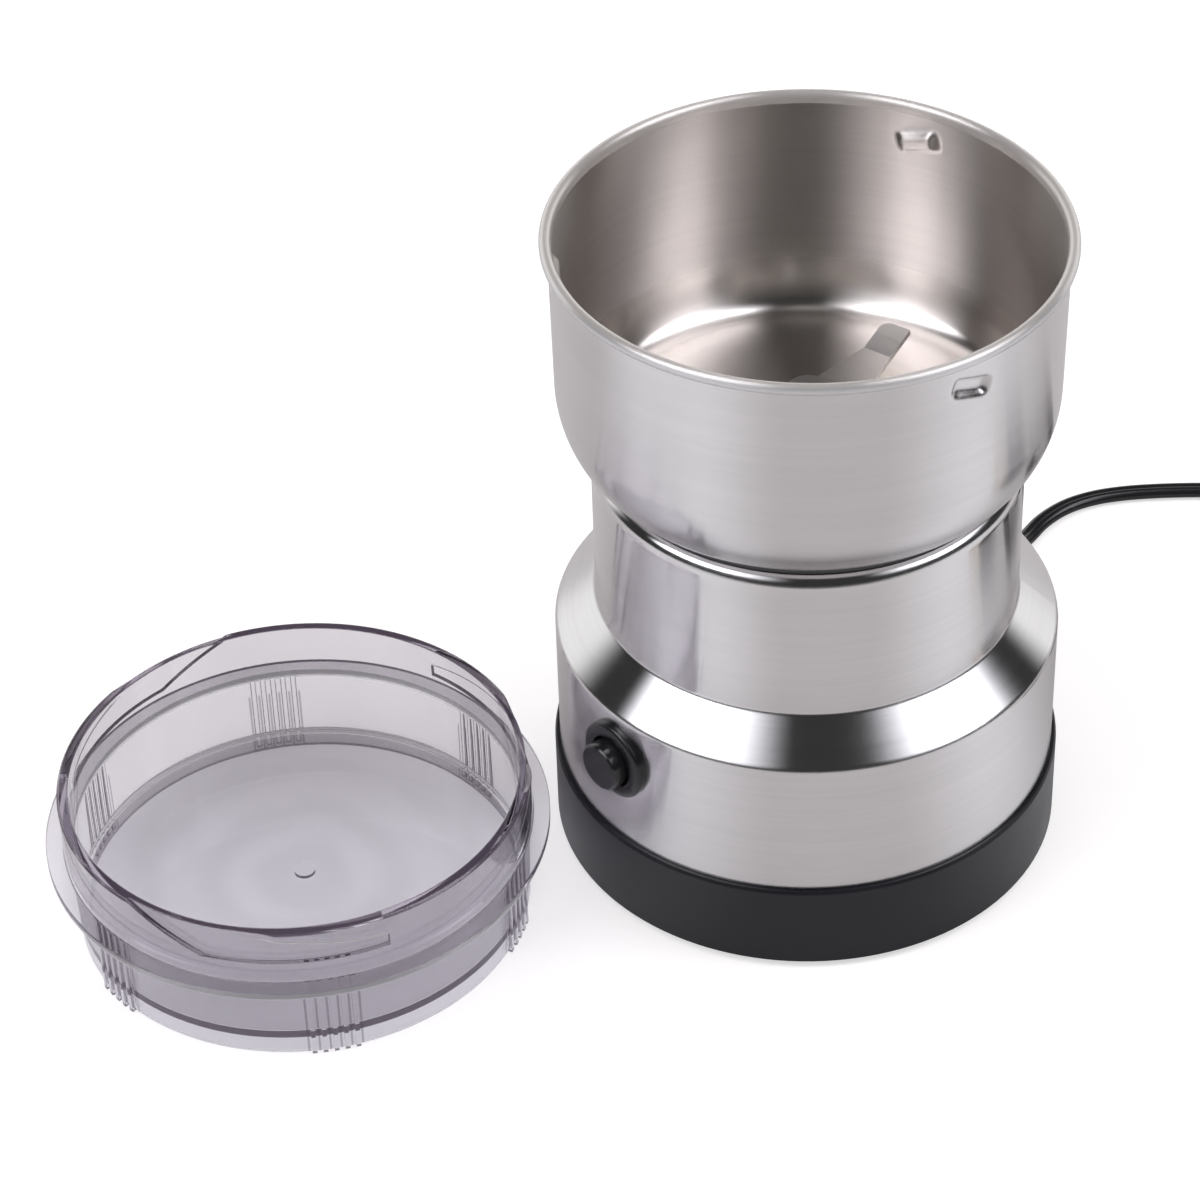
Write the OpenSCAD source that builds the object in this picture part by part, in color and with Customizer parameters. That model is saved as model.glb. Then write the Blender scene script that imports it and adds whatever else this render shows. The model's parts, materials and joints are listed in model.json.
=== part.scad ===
// Electric spice grinder: spun bowl with a two-wing blade on a steel body, a universal motor
// inside, a push button, a mains cord, and a clear twist-on lid that lies upside down beside it.
// Millimetres. The origin is on the table under the centre of the body, +Z up.
// The button faces the front left, the cord leaves the back right.

/* [Base] */
// How far the rubber feet stand below the base
foot_h = 1; // [0.6:0.1:1.6]
// Radius of a rubber foot
foot_r = 5; // [4:0.5:6]
// Distance of the middle of a foot from the inside of the base ring
foot_inset = 8.7; // [7.2:0.1:10.2]
// Height of the black base ring
base_h = 19.1; // [17.5:0.1:21]
// How far the base ring stands out beyond the steel
base_step = 1; // [0.8:0.1:1.6]
// Wall of the base ring
base_wall = 2.7; // [2.3:0.1:3.2]
// Depth that the steel body sits down inside the base ring
seat_depth = 5.6; // [4:0.2:6.4]
// Thickness of the bottom cover
cover_t = 2.4; // [2:0.1:3]
// Width of the air slots in the bottom cover
slot_w = 2.2; // [1.6:0.1:2.6]

/* [Steel body] */
// Thickness of the steel sheet
sheet_t = 0.8; // [0.6:0.1:1]
// Outer radius of the drum, the wide lower part
drum_r = 49.9; // [49:0.1:52]
// Height of the drum that shows above the base ring
drum_h = 30.1; // [29:0.1:33]
// Height of the sloping shoulder
shoulder_h = 7.4; // [6:0.1:9]
// Outer radius of the column above the shoulder
column_r = 41.8; // [41:0.1:43]
// Height of the column above the shoulder
column_h = 32.6; // [31.5:0.1:35]
// Bend radius of the turned-in top edge of the column
lip_bend_r = 3; // [2.5:0.1:3.4]
// Flat width of the turned-in edge
lip_w = 0.5; // [0.3:0.1:1]

/* [Bowl] */
// Thickness of the bowl sheet
bowl_t = 0.8; // [0.6:0.1:1]
// Outer radius of the bowl just below its rolled bead
bowl_r = 48.5; // [47.5:0.1:50]
// How much the bowl wall leans in on its way down
bowl_lean = 0.4; // [0.2:0.1:0.8]
// Height from the underside of the bowl to the centre of the rolled bead
bowl_h = 46.5; // [43:0.5:52]
// Outer radius of the rolled bead
bead_r = 1.15; // [1.1:0.05:1.4]
// How far the foot of the bowl is drawn in from its wall
bowl_draw = 5.9; // [5.4:0.1:6.5]
// Height of the drawn-in lower part of the bowl
bowl_waist_h = 8.6; // [8:0.1:9.5]
// Bend radius between the floor and the drawn-in part
bowl_corner_r = 6; // [5:0.1:6.2]
// Width of a pressed-in lug that holds the lid
lug_w = 8.6; // [7:0.1:10]
// Height of a lug
lug_h = 4.2; // [3.8:0.1:4.6]
// How far a lug stands in from the wall
lug_in = 1.4; // [1.1:0.1:1.6]
// Distance from the centre of the bead down to the middle of a lug
lug_drop = 6.5; // [6.4:0.1:7]
// How far each lug is turned from level, which draws the lid down
lug_tilt = 16; // [0:1:20]
// Directions of the lugs
lug_az = [64, 186, 307]; // [0:1:360]

/* [Blade] */
// Direction in which one wing of the blade points at rest
blade_az = 57.5; // [0:0.5:180]
// Thickness of the blade
blade_t = 1.2; // [1:0.1:1.6]
// Width of the blade at its middle
blade_mid_w = 15; // [13.5:0.5:17]
// Width of a wing from its bend to its tip
wing_w = 6; // [5:0.1:7]
// Distance of the bend in a wing from the axis
bend_r = 24.9; // [22:0.1:27]
// Distance of the tip of a wing from the axis
tip_r = 32.4; // [30:0.1:35]
// How far the tip rises from the bend
tip_rise = 2.2; // [1.5:0.1:4]
// Height of the dome nut above the blade
nut_h = 5.6; // [5:0.1:7]

/* [Motor] */
// Radius of the motor shaft
shaft_r = 3; // [2.5:0.1:3.4]
// Height of the motor mount below the lip of the column
mount_h = 10.2; // [9.5:0.1:11]
// Thickness of the flange of the motor mount between the lip and the bowl
mount_flange_t = 1.7; // [1.4:0.1:2.2]
// Radius of the cooling fan
fan_r = 23; // [21:0.5:25]
// Height of the cooling fan
fan_h = 7; // [6:0.5:8]
// Height of the iron core
core_h = 20; // [18:0.5:21.5]
// Radius of the armature core
core_r = 14.8; // [14.2:0.1:15]
// Air gap between the armature and the poles
air_gap = 0.6; // [0.4:0.1:0.8]
// Room between the poles' sides of the stator and the steel column
stator_side = 13; // [12:0.5:13.5]
// Room between the stator and the terminals of the switch
stator_gap = 1.6; // [1:0.1:2.2]
// Length of the winding heads beyond the core
head_h = 6; // [5:0.5:6.5]
// Height of the commutator
comm_h = 9; // [8.5:0.5:10]
// Radius of the commutator
comm_r = 9; // [8.5:0.1:9.6]
// Side of a carbon brush
brush_w = 5.6; // [5:0.1:6]
// Height of the bearing bushes
bush_h = 7; // [6:0.5:7.5]

/* [Switch] */
// Direction in which the button faces
button_az = -137; // [-150:1:-120]
// Height of the middle of the button above the base ring
button_rise = 19.5; // [18:0.1:20.5]
// Radius of the round bezel
bezel_r = 8.2; // [7.8:0.1:8.8]
// How far the crown of the bezel stands out from the drum
bezel_out = 1.8; // [1.5:0.1:2.2]
// How far the rim of the bezel stands out from the drum
bezel_rim = 0.8; // [0.5:0.1:1]
// Radius of the push button
button_r = 4.9; // [4.2:0.1:5.2]
// How far the button stands out from the bezel
button_out = 2.9; // [2.6:0.1:3.6]
// Travel of the button
button_travel = 2.2; // [1.8:0.1:2.4]

/* [Cord and plug] */
// Width of the flat twin cord
cord_w = 4; // [3.8:0.1:4.1]
// Thickness of the flat twin cord
cord_t = 2.9; // [2.8:0.1:3.2]
// Radius of a plug pin
pin_r = 2; // [1.9:0.05:2.2]
// Distance between the plug pins
pin_gap = 19; // [18:0.1:20]
// Length of the plug pins
pin_l = 19; // [17:0.5:21]

/* [Lid] */
// Outer height of the lid
lid_h = 32; // [30:0.5:35]
// Height of the grip wall from the table to the top face of the flange
lid_grip_h = 20; // [19:0.5:22]
// Inner radius of the lid
lid_inner_r = 43.9; // [43.2:0.1:44]
// Wall of the grip
lid_wall = 1.4; // [1.2:0.1:1.6]
// Thickness of the flange that rests on the bowl
lid_flange_t = 1.4; // [1.2:0.1:2]
// How deep the top of the lid is sunk inside its grip wall
lid_sink = 3.2; // [2:0.1:4]
// Thickness of the top of the lid
lid_top_t = 2.2; // [1.8:0.1:2.8]
// Height of the ledge that a lug slides on, above the flange
ledge_h = 4.8; // [4.4:0.1:5]
// Wall that is left behind a lug channel
channel_wall = 1.2; // [1:0.1:1.3]
// Thickness of the locking hook where it starts
hook_t = 4.4; // [3.6:0.1:4.6]
// Direction of the end of the first lug channel
channel_az = 58.5; // [0:0.5:119]
// Number of grip rib groups
rib_groups = 6; // [3:1:8]
// Ribs in a group
ribs = 5; // [3:1:6]
// Width of a grip rib
rib_w = 0.9; // [0.7:0.1:1.1]
// Gap between the lid's flange and the base ring, where the lid lies beside the body
lid_gap = 3.9; // [3:0.1:8]
// Direction in which the lid lies
lid_az = -163.1; // [-168:0.1:-158]

/* [Fits] */
// Gap between two pieces that are fixed to each other
fit = 0.02; // [0.01:0.01:0.05]
// Radial gap of a running shaft, pin or stem
run = 0.05; // [0.03:0.01:0.08]

/* [Hidden] */
$fn = 96;
eps = 0.01;

// ---------- heights, from the table up ----------
z_cover_top = foot_h + cover_t;
z_ring_top = foot_h + base_h;
z_steel = z_ring_top - seat_depth;
z_drum = z_ring_top + drum_h;
z_column = z_drum + shoulder_h;
z_lip = z_column + column_h;
z_bowl = z_lip + mount_flange_t;
z_floor = z_bowl + bowl_t;
z_bead = z_bowl + bowl_h;

// ---------- body radii ----------
base_r = drum_r + base_step;
ring_in_r = base_r - base_wall;
foot_place_r = ring_in_r - foot_inset;
foot_sink = 1;
foot_stem_r = 2;
slot_field_r = 23;
shelf_r = ring_in_r - 4.2;
shelf_t = 2;
lip_in_r = column_r - lip_bend_r - lip_w;

// ---------- bowl outline ----------
bowl_low_r = bowl_r - bowl_lean;
bowl_foot_r = bowl_low_r - bowl_draw;
waist_len = norm([bowl_draw, bowl_waist_h]);
waist_slope = atan2(bowl_waist_h, bowl_draw);
wall_slope = atan2(bowl_h - bowl_waist_h, bowl_lean);
waist_flat = 0.4;
bowl_side_r = (waist_len - waist_flat - bowl_corner_r * tan(waist_slope / 2)) / tan((wall_slope - waist_slope) / 2);
bead_in_r = bead_r - bowl_t;
bead_curl = 280;
lug_slope = 1;

// ---------- blade stack above the bowl floor ----------
ring_nut_t = 1.8;
ring_nut_r = 13;
ring_notch_w = 2.4;
collar_gap = 0.5;
collar_t = 0.9;
z_neck = z_floor + ring_nut_t - 0.2;
z_collar = z_floor + ring_nut_t + collar_gap;
z_blade = z_collar + collar_t;
z_blade_top = z_blade + blade_t;
washer_t = 0.8;
collar_r = 6.5;
nut_r = 5.8;
nut_tip_r = 4.2;
neck_r = 8;

// ---------- switch ----------
z_button = z_ring_top + button_rise;
bezel_face = drum_r + bezel_out;
barrel_r = bezel_r - 1.6;
barrel_back = drum_r - 7.9;
barrel_floor_t = 2;
recess_r = button_r + 0.3;
switch_nut_r = barrel_r + 3;
switch_nut_t = 3;
nut_face = sqrt(pow(drum_r - sheet_t, 2) - pow(switch_nut_r, 2)) - 0.1;
button_face = bezel_face + button_out;
button_len = 7;
button_face_t = 1.6;
stem_r = 2;
stem_tip = barrel_back - 1.4;
stem_room = 5;
switch_w = 13;
switch_tall = 15;
switch_depth = 12;
terminal_l = 3.4;
terminal_w = 4.8;
terminal_t = 0.8;
terminal_place = 3.5;
spring_wire = 0.5;
button_spring_r = 3;
switch_rear = barrel_back - switch_depth - terminal_l;

// ---------- motor, from the mount down ----------
z_mount = z_lip - mount_h;
fan_gap = 2;
z_fan = z_mount - fan_gap - fan_h;
head_gap = 3;
z_core_top = z_fan - head_gap - head_h;
z_core = z_core_top - core_h;
comm_gap = 2;
z_comm = z_core - head_h - comm_gap - comm_h;
plate_gap = 4;
z_plate_top = z_comm - plate_gap;
plate_t = 3;
z_plate = z_plate_top - plate_t;
z_bush_low = z_plate_top - bush_h - 0.5;
z_shaft = z_bush_low - 1;
bush_r = 6;
stator_bore = core_r + air_gap;
stator_w = 2 * (column_r - sheet_t - stator_side);
stator_d = 2 * (switch_rear - stator_gap);
core_slots = 10;
slot_deep = 7;
motor_az = button_az + 90;
post_x = stator_w / 2 - 4;
post_y = stator_d / 2 - 4;
post_r = 4.2;
motor_screw_r = 2;
window_y = stator_d / 2 - 7;
window_x = stator_w / 2 - 8;
pole_y = 8.5;
horn_y = 11;
horn_x = stator_bore - 0.9;
coil_gap = 0.3;
coil_bulge = 1;
coil_chamfer = 4;
mount_r = lip_in_r - 0.5;
mount_flange_r = lip_in_r + 1.7;
plate_r = column_r - sheet_t - 7;
column_place_r = plate_r - 4;
cover_column_r = 4.5;
boss_r = 3.6;
boss_h = 5;
base_screw_r = 1.5;
base_head_r = 3;
base_head_h = 1.1;
screw_sink = 1.2;
motor_head_r = 3.6;
motor_head_h = 2;
motor_screw_grip = 2;
hub_r = 10;
vent_r = 4.5;
vent_place_r = plate_r - 14;
z_brush = z_comm + comm_h / 2;
holder_w = brush_w + 2;
holder_in = comm_r + 1.2;
holder_out = 25;
brush_l = 8.5;
brush_spring_r = 1.9;

// ---------- cord ----------
cord_az = 60;
cord_z = 10.2;
cord_hole_r = 4;
relief_r = 4.6;
sleeve_l = 20;
relief_root_r = 4.1;
relief_slope = 0.075;
cord_floor_z = cord_t / 2;
saddle_r = ring_in_r - 11.2;
saddle_w = 19;
saddle_l = 6;
clamp_t = 2.2;
clamp_screw_r = 1.2;
saddle_z = cord_z - cord_t / 2;
clamp_screw_y = 6.5;
// Points of the cord from the strain relief over the table to the coil
lead_route = [[35.45, 61.4, cord_z], [38.7, 67.1, 8.9], [42.1, 73, 5.9], [45.5, 78.8, 2.8],
    [49, 84.6, cord_floor_z], [53, 90.8, cord_floor_z], [58.3, 96, cord_floor_z],
    [64.6, 99.4, cord_floor_z], [71.5, 101.3, cord_floor_z], [79, 102.3, cord_floor_z],
    [87, 102.8, cord_floor_z], [95, 102.9, cord_floor_z], [103, 102.8, cord_floor_z],
    [112, 102.4, cord_floor_z], [122, 102, cord_floor_z]];
coil_centre = [122, 76];
coil_turn_r = 26;
coil_pitch = cord_w + 0.1;
coil_rings = 3;
coil_layers = 2;
// Points of the cord from the top of the coil to the plug
tail_route = [[148, 76, 4.4], [148, 69, 4.5], [148, 62, 5.1], [148, 55, 6.3], [148, 48, 6.8]];
tail_end = tail_route[len(tail_route) - 1];
plug_x = tail_end[0];
plug_y = tail_end[1];
plug_sleeve_l = 14;
plug_body_l = 36;
plug_w = 35;
plug_t = 13.6;
plug_back_w = 15;

// ---------- lid ----------
skirt_r = bowl_low_r - bowl_t - lug_in + 0.15;
channel_r = lid_inner_r + channel_wall;
lid_flange_r = bowl_r + 0.9;
lid_floor_z = lid_sink + lid_top_t;
lid_chamfer = 0.4;
lid_place = polar(base_r + lid_flange_r + lid_gap, lid_az);
grip_r = lid_inner_r + lid_wall;
grip_lean = 0.6;
channels = 3;
ledge_span = 45;
ramp_span = 20.5;
hook_span = 36;
hook_tip_t = 0.8;
hook_taper = 9;
rib_pitch = 2.65;
rib_out = 0.5;
rib_root = 0.6;
rib_az = 43.5;
gate_r = 2.1;
gate_h = 0.6;

// ---------- helpers ----------

// A point at distance r in direction a
function polar(r, a) = [r * cos(a), r * sin(a)];

// Direction from point a to point b
function heading(a, b) = atan2(b[1] - a[1], b[0] - a[0]);

// Turn at point i of a path, positive to the left
function turn(p, i) = let (d = heading(p[i], p[i + 1]) - heading(p[i - 1], p[i]))
    d > 180 ? d - 360 : d < -180 ? d + 360 : d;

// Length that the bend at point i takes from each of its straights
function setback(p, r, i) = i == 0 || i == len(p) - 1 ? 0 : r[i] * tan(abs(turn(p, i)) / 2);

// A list in reverse order
function reversed(list) = [for (i = [len(list) - 1:-1:0]) list[i]];

// Number of steps that a bend of radius r is drawn in
function bend_steps(r, angle) = ceil(abs(angle) * max(1 / 14, r / 60));

// Points of an arc about a centre, from direction a by the angle b, its first point left out
function arc(centre, r, a, b, n) = [for (i = [1:n]) centre + polar(r, a + b * i / n)];

// Points at distance d to the left of a path that has a bend of radius r[i] at each corner
function beside(p, r, d) = let (last = len(p) - 1) concat(
    [p[0] + polar(d, heading(p[0], p[1]) + 90)],
    [for (i = [1:last - 1]) let (
            a = heading(p[i - 1], p[i]),
            b = turn(p, i),
            s = sign(b),
            start = p[i] - polar(setback(p, r, i), a),
            centre = start + polar(r[i], a + 90 * s),
            side_r = r[i] - s * d)
        each concat([centre + polar(side_r, a - 90 * s)],
            arc(centre, side_r, a - 90 * s, b, bend_steps(r[i], b)))],
    [p[last] + polar(d, heading(p[last - 1], p[last]) + 90)]);

// A strip of sheet, t thick on the left of a path, with a bend of radius r[i] at each corner.
// Where curl is set, its end rolls up to the right by that angle, around a hollow of radius curl_r.
module bent_strip(p, r, t, curl = 0, curl_r = 0) {
    end = p[len(p) - 1];
    a = heading(p[len(p) - 2], end);
    centre = end + polar(curl_r, a - 90);
    n = bend_steps(curl_r, curl);
    inside = curl > 0 ? arc(centre, curl_r, a + 90, -curl, n) : [];
    outside = curl > 0 ? arc(centre, curl_r + t, a + 90, -curl, n) : [];
    polygon(concat(beside(p, r, 0), inside, reversed(outside), reversed(beside(p, r, t))));
}

// Stands a piece that is drawn along +Z out from the axis, at height z in direction az
module facing(az, z) {
    translate([0, 0, z])
        rotate([0, 0, az])
            rotate([0, 90, 0])
                children();
}

// A round tube or disc with a bore
module bush(r_out, r_in, h) {
    difference() {
        cylinder(r = r_out, h = h);
        translate([0, 0, -1])
            cylinder(r = r_in, h = h + 2);
    }
}

// A flat-sided rectangle with cut corners
module cut_rect(w, h, c) {
    polygon([[-w / 2 + c, -h / 2], [w / 2 - c, -h / 2], [w / 2, -h / 2 + c], [w / 2, h / 2 - c],
        [w / 2 - c, h / 2], [-w / 2 + c, h / 2], [-w / 2, h / 2 - c], [-w / 2, -h / 2 + c]]);
}

// Copies around the axis
module around(n, first = 0) {
    for (i = [0:n - 1])
        rotate([0, 0, first + i * 360 / n])
            children();
}

// Skin of a tube: rings of a flat oval section, w wide and t thick, along a route
function unit(v) = v / norm(v);
function along(p, i) = unit(p[min(i + 1, len(p) - 1)] - p[max(i - 1, 0)]);
function oval(p, i, w, t, sides) = let (
        d = along(p, i),
        side = unit(cross([0, 0, 1], d)),
        up = cross(d, side))
    [for (k = [0:sides - 1]) p[i] + side * w / 2 * cos(k * 360 / sides) + up * t / 2 * sin(k * 360 / sides)];
module sweep(p, w, t, sides = 8) {
    n = len(p);
    rings = [for (i = [0:n - 1]) each oval(p, i, w, t, sides)];
    skin = [for (i = [0:n - 2], k = [0:sides - 1]) let (
            a = i * sides + k,
            b = i * sides + (k + 1) % sides)
        each [[a, a + sides, b + sides], [a, b + sides, b]]];
    first = [for (k = [0:sides - 1]) k];
    last = [for (k = [sides - 1:-1:0]) (n - 1) * sides + k];
    polyhedron(rings, concat([first], skin, [last]));
}

// A coil spring along +Z
module spring(r, wire, h, turns) {
    steps = 10;
    route = [for (i = [0:turns * steps])
        [r * cos(i * 360 / steps), r * sin(i * 360 / steps), wire / 2 + (h - wire) * i / (turns * steps)]];
    sweep(route, wire, wire, 6);
}

// ---------- body ----------

module steel_housing() {
    outline = [[drum_r, z_steel], [drum_r, z_drum], [column_r, z_column], [column_r, z_lip], [lip_in_r, z_lip]];
    bends = [0, sheet_t + 0.8, 1, lip_bend_r, 0];
    color("silver")
        difference() {
            rotate_extrude()
                bent_strip(outline, bends, sheet_t);
            facing(button_az, z_button)
                cylinder(r = barrel_r + 0.1, h = base_r);
        }
}

module base_ring() {
    edge = 0.7;
    wall = [[ring_in_r, foot_h], [base_r - edge, foot_h], [base_r, foot_h + edge], [base_r, z_ring_top - edge],
        [base_r - edge / 2, z_ring_top], [drum_r + 0.05, z_ring_top], [drum_r + 0.05, z_steel], [ring_in_r, z_steel]];
    color("#2b2b2e")
        difference() {
            rotate_extrude()
                union() {
                    polygon(wall);
                    translate([shelf_r, z_cover_top])
                        square([ring_in_r - shelf_r + 1, shelf_t]);
                }
            facing(cord_az, cord_z)
                cylinder(r = cord_hole_r, h = base_r + 5);
        }
}

module bottom_cover() {
    slots = 9;
    color("#2b2b2e")
        difference() {
            union() {
                translate([0, 0, foot_h])
                    cylinder(r = ring_in_r - 0.1, h = cover_t);
                around(4, motor_az)
                    translate([column_place_r, 0, z_cover_top - eps])
                        cylinder(r = cover_column_r, h = z_plate - z_cover_top + eps);
                saddle();
            }
            around(4, motor_az)
                translate([column_place_r, 0, 0]) {
                    cylinder(r = base_screw_r + fit, h = z_plate + 1);
                    cylinder(r = base_head_r + 0.4, h = foot_h + screw_sink + fit);
                }
            around(4, motor_az + 45)
                translate([foot_place_r, 0, 0]) {
                    cylinder(r = foot_r + 0.1, h = foot_h + foot_sink);
                    cylinder(r = foot_stem_r + 0.1, h = z_cover_top + 1);
                }
            for (i = [0:slots - 1]) {
                y = (i - (slots - 1) / 2) * 2 * slot_w;
                half = sqrt(pow(slot_field_r, 2) - pow(y, 2));
                rotate([0, 0, motor_az + 45])
                    translate([-half, y - slot_w / 2, 0])
                        cube([2 * half, slot_w, z_cover_top + 1]);
            }
        }
}

// Seat of the cord inside the base, with a screw hole on each side
module saddle() {
    rotate([0, 0, cord_az])
        difference() {
            translate([saddle_r - saddle_l / 2, -saddle_w / 2, z_cover_top - eps])
                cube([saddle_l, saddle_w, saddle_z - z_cover_top + eps]);
            for (y = [-clamp_screw_y, clamp_screw_y])
                translate([saddle_r, y, z_cover_top + 1])
                    cylinder(r = clamp_screw_r, h = cord_z);
        }
}

module cord_clamp() {
    color("#303033")
        rotate([0, 0, cord_az])
            difference() {
                translate([saddle_r - saddle_l / 2, -saddle_w / 2, saddle_z])
                    cube([saddle_l, saddle_w, cord_t + clamp_t]);
                translate([saddle_r - saddle_l, -cord_w / 2 - 0.1, saddle_z - 1])
                    cube([2 * saddle_l, cord_w + 0.2, cord_t + 1]);
                for (y = [-clamp_screw_y, clamp_screw_y])
                    translate([saddle_r, y, saddle_z - 1])
                        cylinder(r = clamp_screw_r + 0.1, h = cord_t + clamp_t + 2);
            }
}

module clamp_screws() {
    head = saddle_z + cord_t + clamp_t;
    tip = z_cover_top + 1.2;
    color("silver")
        rotate([0, 0, cord_az])
            for (y = [-clamp_screw_y, clamp_screw_y])
                translate([saddle_r, y, 0]) {
                    translate([0, 0, tip])
                        cylinder(r = clamp_screw_r - fit, h = head - tip);
                    pan_head(2.3, 1.6, head);
                }
}

// A round screw head with a cross slot
module pan_head(r, h, z) {
    translate([0, 0, z])
        difference() {
            cylinder(r = r, h = h);
            for (a = [0, 90])
                rotate([0, 0, a])
                    translate([-r * 0.7, -r * 0.13, h - 0.8])
                        cube([r * 1.4, r * 0.26, 1]);
        }
}

module rubber_feet() {
    color("#3a3a3a")
        around(4, motor_az + 45)
            translate([foot_place_r, 0, 0]) {
                cylinder(r = foot_r, h = foot_h + foot_sink);
                cylinder(r = foot_stem_r, h = z_cover_top + 1.2);
            }
}

module base_screws() {
    color("silver")
        around(4, motor_az)
            translate([column_place_r, 0, 0]) {
                translate([0, 0, foot_h + screw_sink])
                    cylinder(r = base_screw_r, h = z_plate_top + boss_h - 1 - foot_h - screw_sink);
                translate([0, 0, foot_h + screw_sink])
                    mirror([0, 0, 1])
                        pan_head(base_head_r, base_head_h, 0);
            }
}

// ---------- bowl ----------

// Half width of a lug's sloping side at depth x, w wide at the wall
function lug_side(w, x) = w / 2 + lug_slope * x / lug_in;

// A bar, w wide at the wall and narrower further in, its length along Z
module lug_bar(w) {
    long = 20;
    translate([0, 0, -long / 2])
        linear_extrude(height = long)
            polygon([[1, -lug_side(w, 1)], [1, lug_side(w, 1)], [-lug_in, lug_side(w, -lug_in)],
                [-lug_in, -lug_side(w, -lug_in)]]);
}

// The lugs, sloping on all four sides, their wide side at radius r
module lug_forms(r) {
    for (a = lug_az)
        rotate([0, 0, a])
            translate([r, 0, z_bead - lug_drop])
                rotate([-lug_tilt, 0, 0])
                    intersection() {
                        lug_bar(lug_w);
                        rotate([90, 0, 0])
                            lug_bar(lug_h);
                    }
}

module bowl() {
    outline = [[neck_r + 0.1, z_bowl], [bowl_foot_r, z_bowl], [bowl_low_r, z_bowl + bowl_waist_h], [bowl_r, z_bead]];
    color("lightgray")
        difference() {
            union() {
                rotate_extrude()
                    bent_strip(outline, [0, bowl_corner_r, bowl_side_r, 0], bowl_t, bead_curl, bead_in_r);
                intersection() {
                    lug_forms(bowl_r - bowl_t);
                    cylinder(r = bowl_r - bowl_t / 2, h = z_bead);
                }
            }
            lug_forms(bowl_r);
        }
}

module bowl_ring_nut() {
    color("silver")
        translate([0, 0, z_floor])
            difference() {
                bush(ring_nut_r, neck_r + fit, ring_nut_t);
                around(4)
                    translate([ring_nut_r - 1.6, -ring_notch_w / 2, -1])
                        cube([3, ring_notch_w, ring_nut_t + 2]);
            }
}

module shaft_seal() {
    bottom = z_mount + bush_h + 0.6;
    color("#44403c")
        translate([0, 0, bottom])
            bush(bush_r - fit, shaft_r + run, z_neck + 0.2 - bottom);
}

// ---------- motor ----------

module motor_mount() {
    skirt_t = 3;
    top_t = 2.5;
    color("#35353a")
        rotate([0, 0, motor_az])
            difference() {
                union() {
                    rotate_extrude()
                        union() {
                            translate([0, z_lip - top_t])
                                square([mount_r, top_t + mount_flange_t]);
                            translate([0, z_lip])
                                square([mount_flange_r, mount_flange_t]);
                            translate([0, z_mount])
                                square([hub_r, mount_h]);
                            translate([mount_r - skirt_t, z_mount + 2])
                                square([skirt_t, mount_h - 2]);
                            neck_outline();
                        }
                    around(6)
                        translate([hub_r - 1, -1, z_mount + 3])
                            cube([mount_r - skirt_t - hub_r + 2, 2, mount_h - 4]);
                    motor_posts(z_core_top, z_lip - 1);
                }
                translate([0, 0, z_mount - 1])
                    cylinder(r = bush_r, h = z_neck - z_mount + 2);
                motor_corners()
                    translate([0, 0, z_core_top - 1])
                        cylinder(r = motor_screw_r + fit, h = z_mount + 2 * motor_screw_grip - z_core_top);
            }
}

// Threaded neck that comes up through the bowl floor, as a half outline
module neck_outline() {
    translate([0, z_bowl - eps])
        square([neck_r, z_neck - z_bowl + eps]);
}

// The two opposite corners of the stator that the long screws pass through
module motor_corners() {
    for (s = [-1, 1])
        translate([s * post_x, s * post_y, 0])
            children();
}

module motor_posts(z0, z1) {
    motor_corners()
        translate([0, 0, z0])
            cylinder(r = post_r, h = z1 - z0);
}

module upper_bearing() {
    color("#b08d57")
        translate([0, 0, z_mount])
            bush(bush_r - fit, shaft_r + run, bush_h);
}

module lower_bearing() {
    color("#b08d57")
        translate([0, 0, z_bush_low + 0.5])
            bush(bush_r - fit, shaft_r + run, bush_h);
}

module lower_bracket() {
    bearing_boss_r = hub_r - 0.5;
    tower_h = z_brush - holder_w / 2 - z_plate_top;
    color("#3d3d42")
        rotate([0, 0, motor_az])
            difference() {
                union() {
                    translate([0, 0, z_plate])
                        cylinder(r = plate_r, h = plate_t);
                    translate([0, 0, z_bush_low])
                        cylinder(r = bearing_boss_r, h = z_plate_top - z_bush_low);
                    motor_posts(z_plate, z_core);
                    around(4)
                        translate([column_place_r, 0, z_plate_top - eps])
                            cylinder(r = boss_r, h = boss_h);
                    around(2, 90)
                        translate([holder_in + 0.5, -holder_w / 2, z_plate_top - eps])
                            cube([holder_out - holder_in - 1, holder_w, tower_h + eps]);
                }
                translate([0, 0, z_bush_low + 0.5])
                    cylinder(r = bush_r, h = bush_h + boss_h);
                translate([0, 0, z_bush_low - 1])
                    cylinder(r = shaft_r + 0.6, h = 3);
                around(4)
                    translate([column_place_r, 0, z_plate - 1])
                        cylinder(r = base_screw_r + fit, h = plate_t + boss_h + 2);
                motor_corners()
                    translate([0, 0, z_plate - 1])
                        cylinder(r = motor_screw_r + fit, h = z_core - z_plate + 2);
                around(4, 45)
                    translate([vent_place_r, 0, z_plate - 1])
                        cylinder(r = vent_r, h = plate_t + 2);
            }
}

module stator_shape() {
    difference() {
        cut_rect(stator_w, stator_d, 2);
        circle(r = stator_bore);
        for (s = [-1, 1]) {
            translate([-window_x, s > 0 ? horn_y : -window_y])
                square([2 * window_x, window_y - horn_y]);
            for (q = [-1, 1])
                translate([q > 0 ? horn_x : -window_x, s > 0 ? pole_y : -window_y])
                    square([window_x - horn_x, window_y - pole_y]);
        }
        for (s = [-1, 1])
            translate([s * post_x, s * post_y])
                circle(r = motor_screw_r + fit);
    }
}

module stator_core() {
    color("#8a8d91")
        translate([0, 0, z_core])
            rotate([0, 0, motor_az])
                linear_extrude(height = core_h)
                    stator_shape();
}

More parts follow.
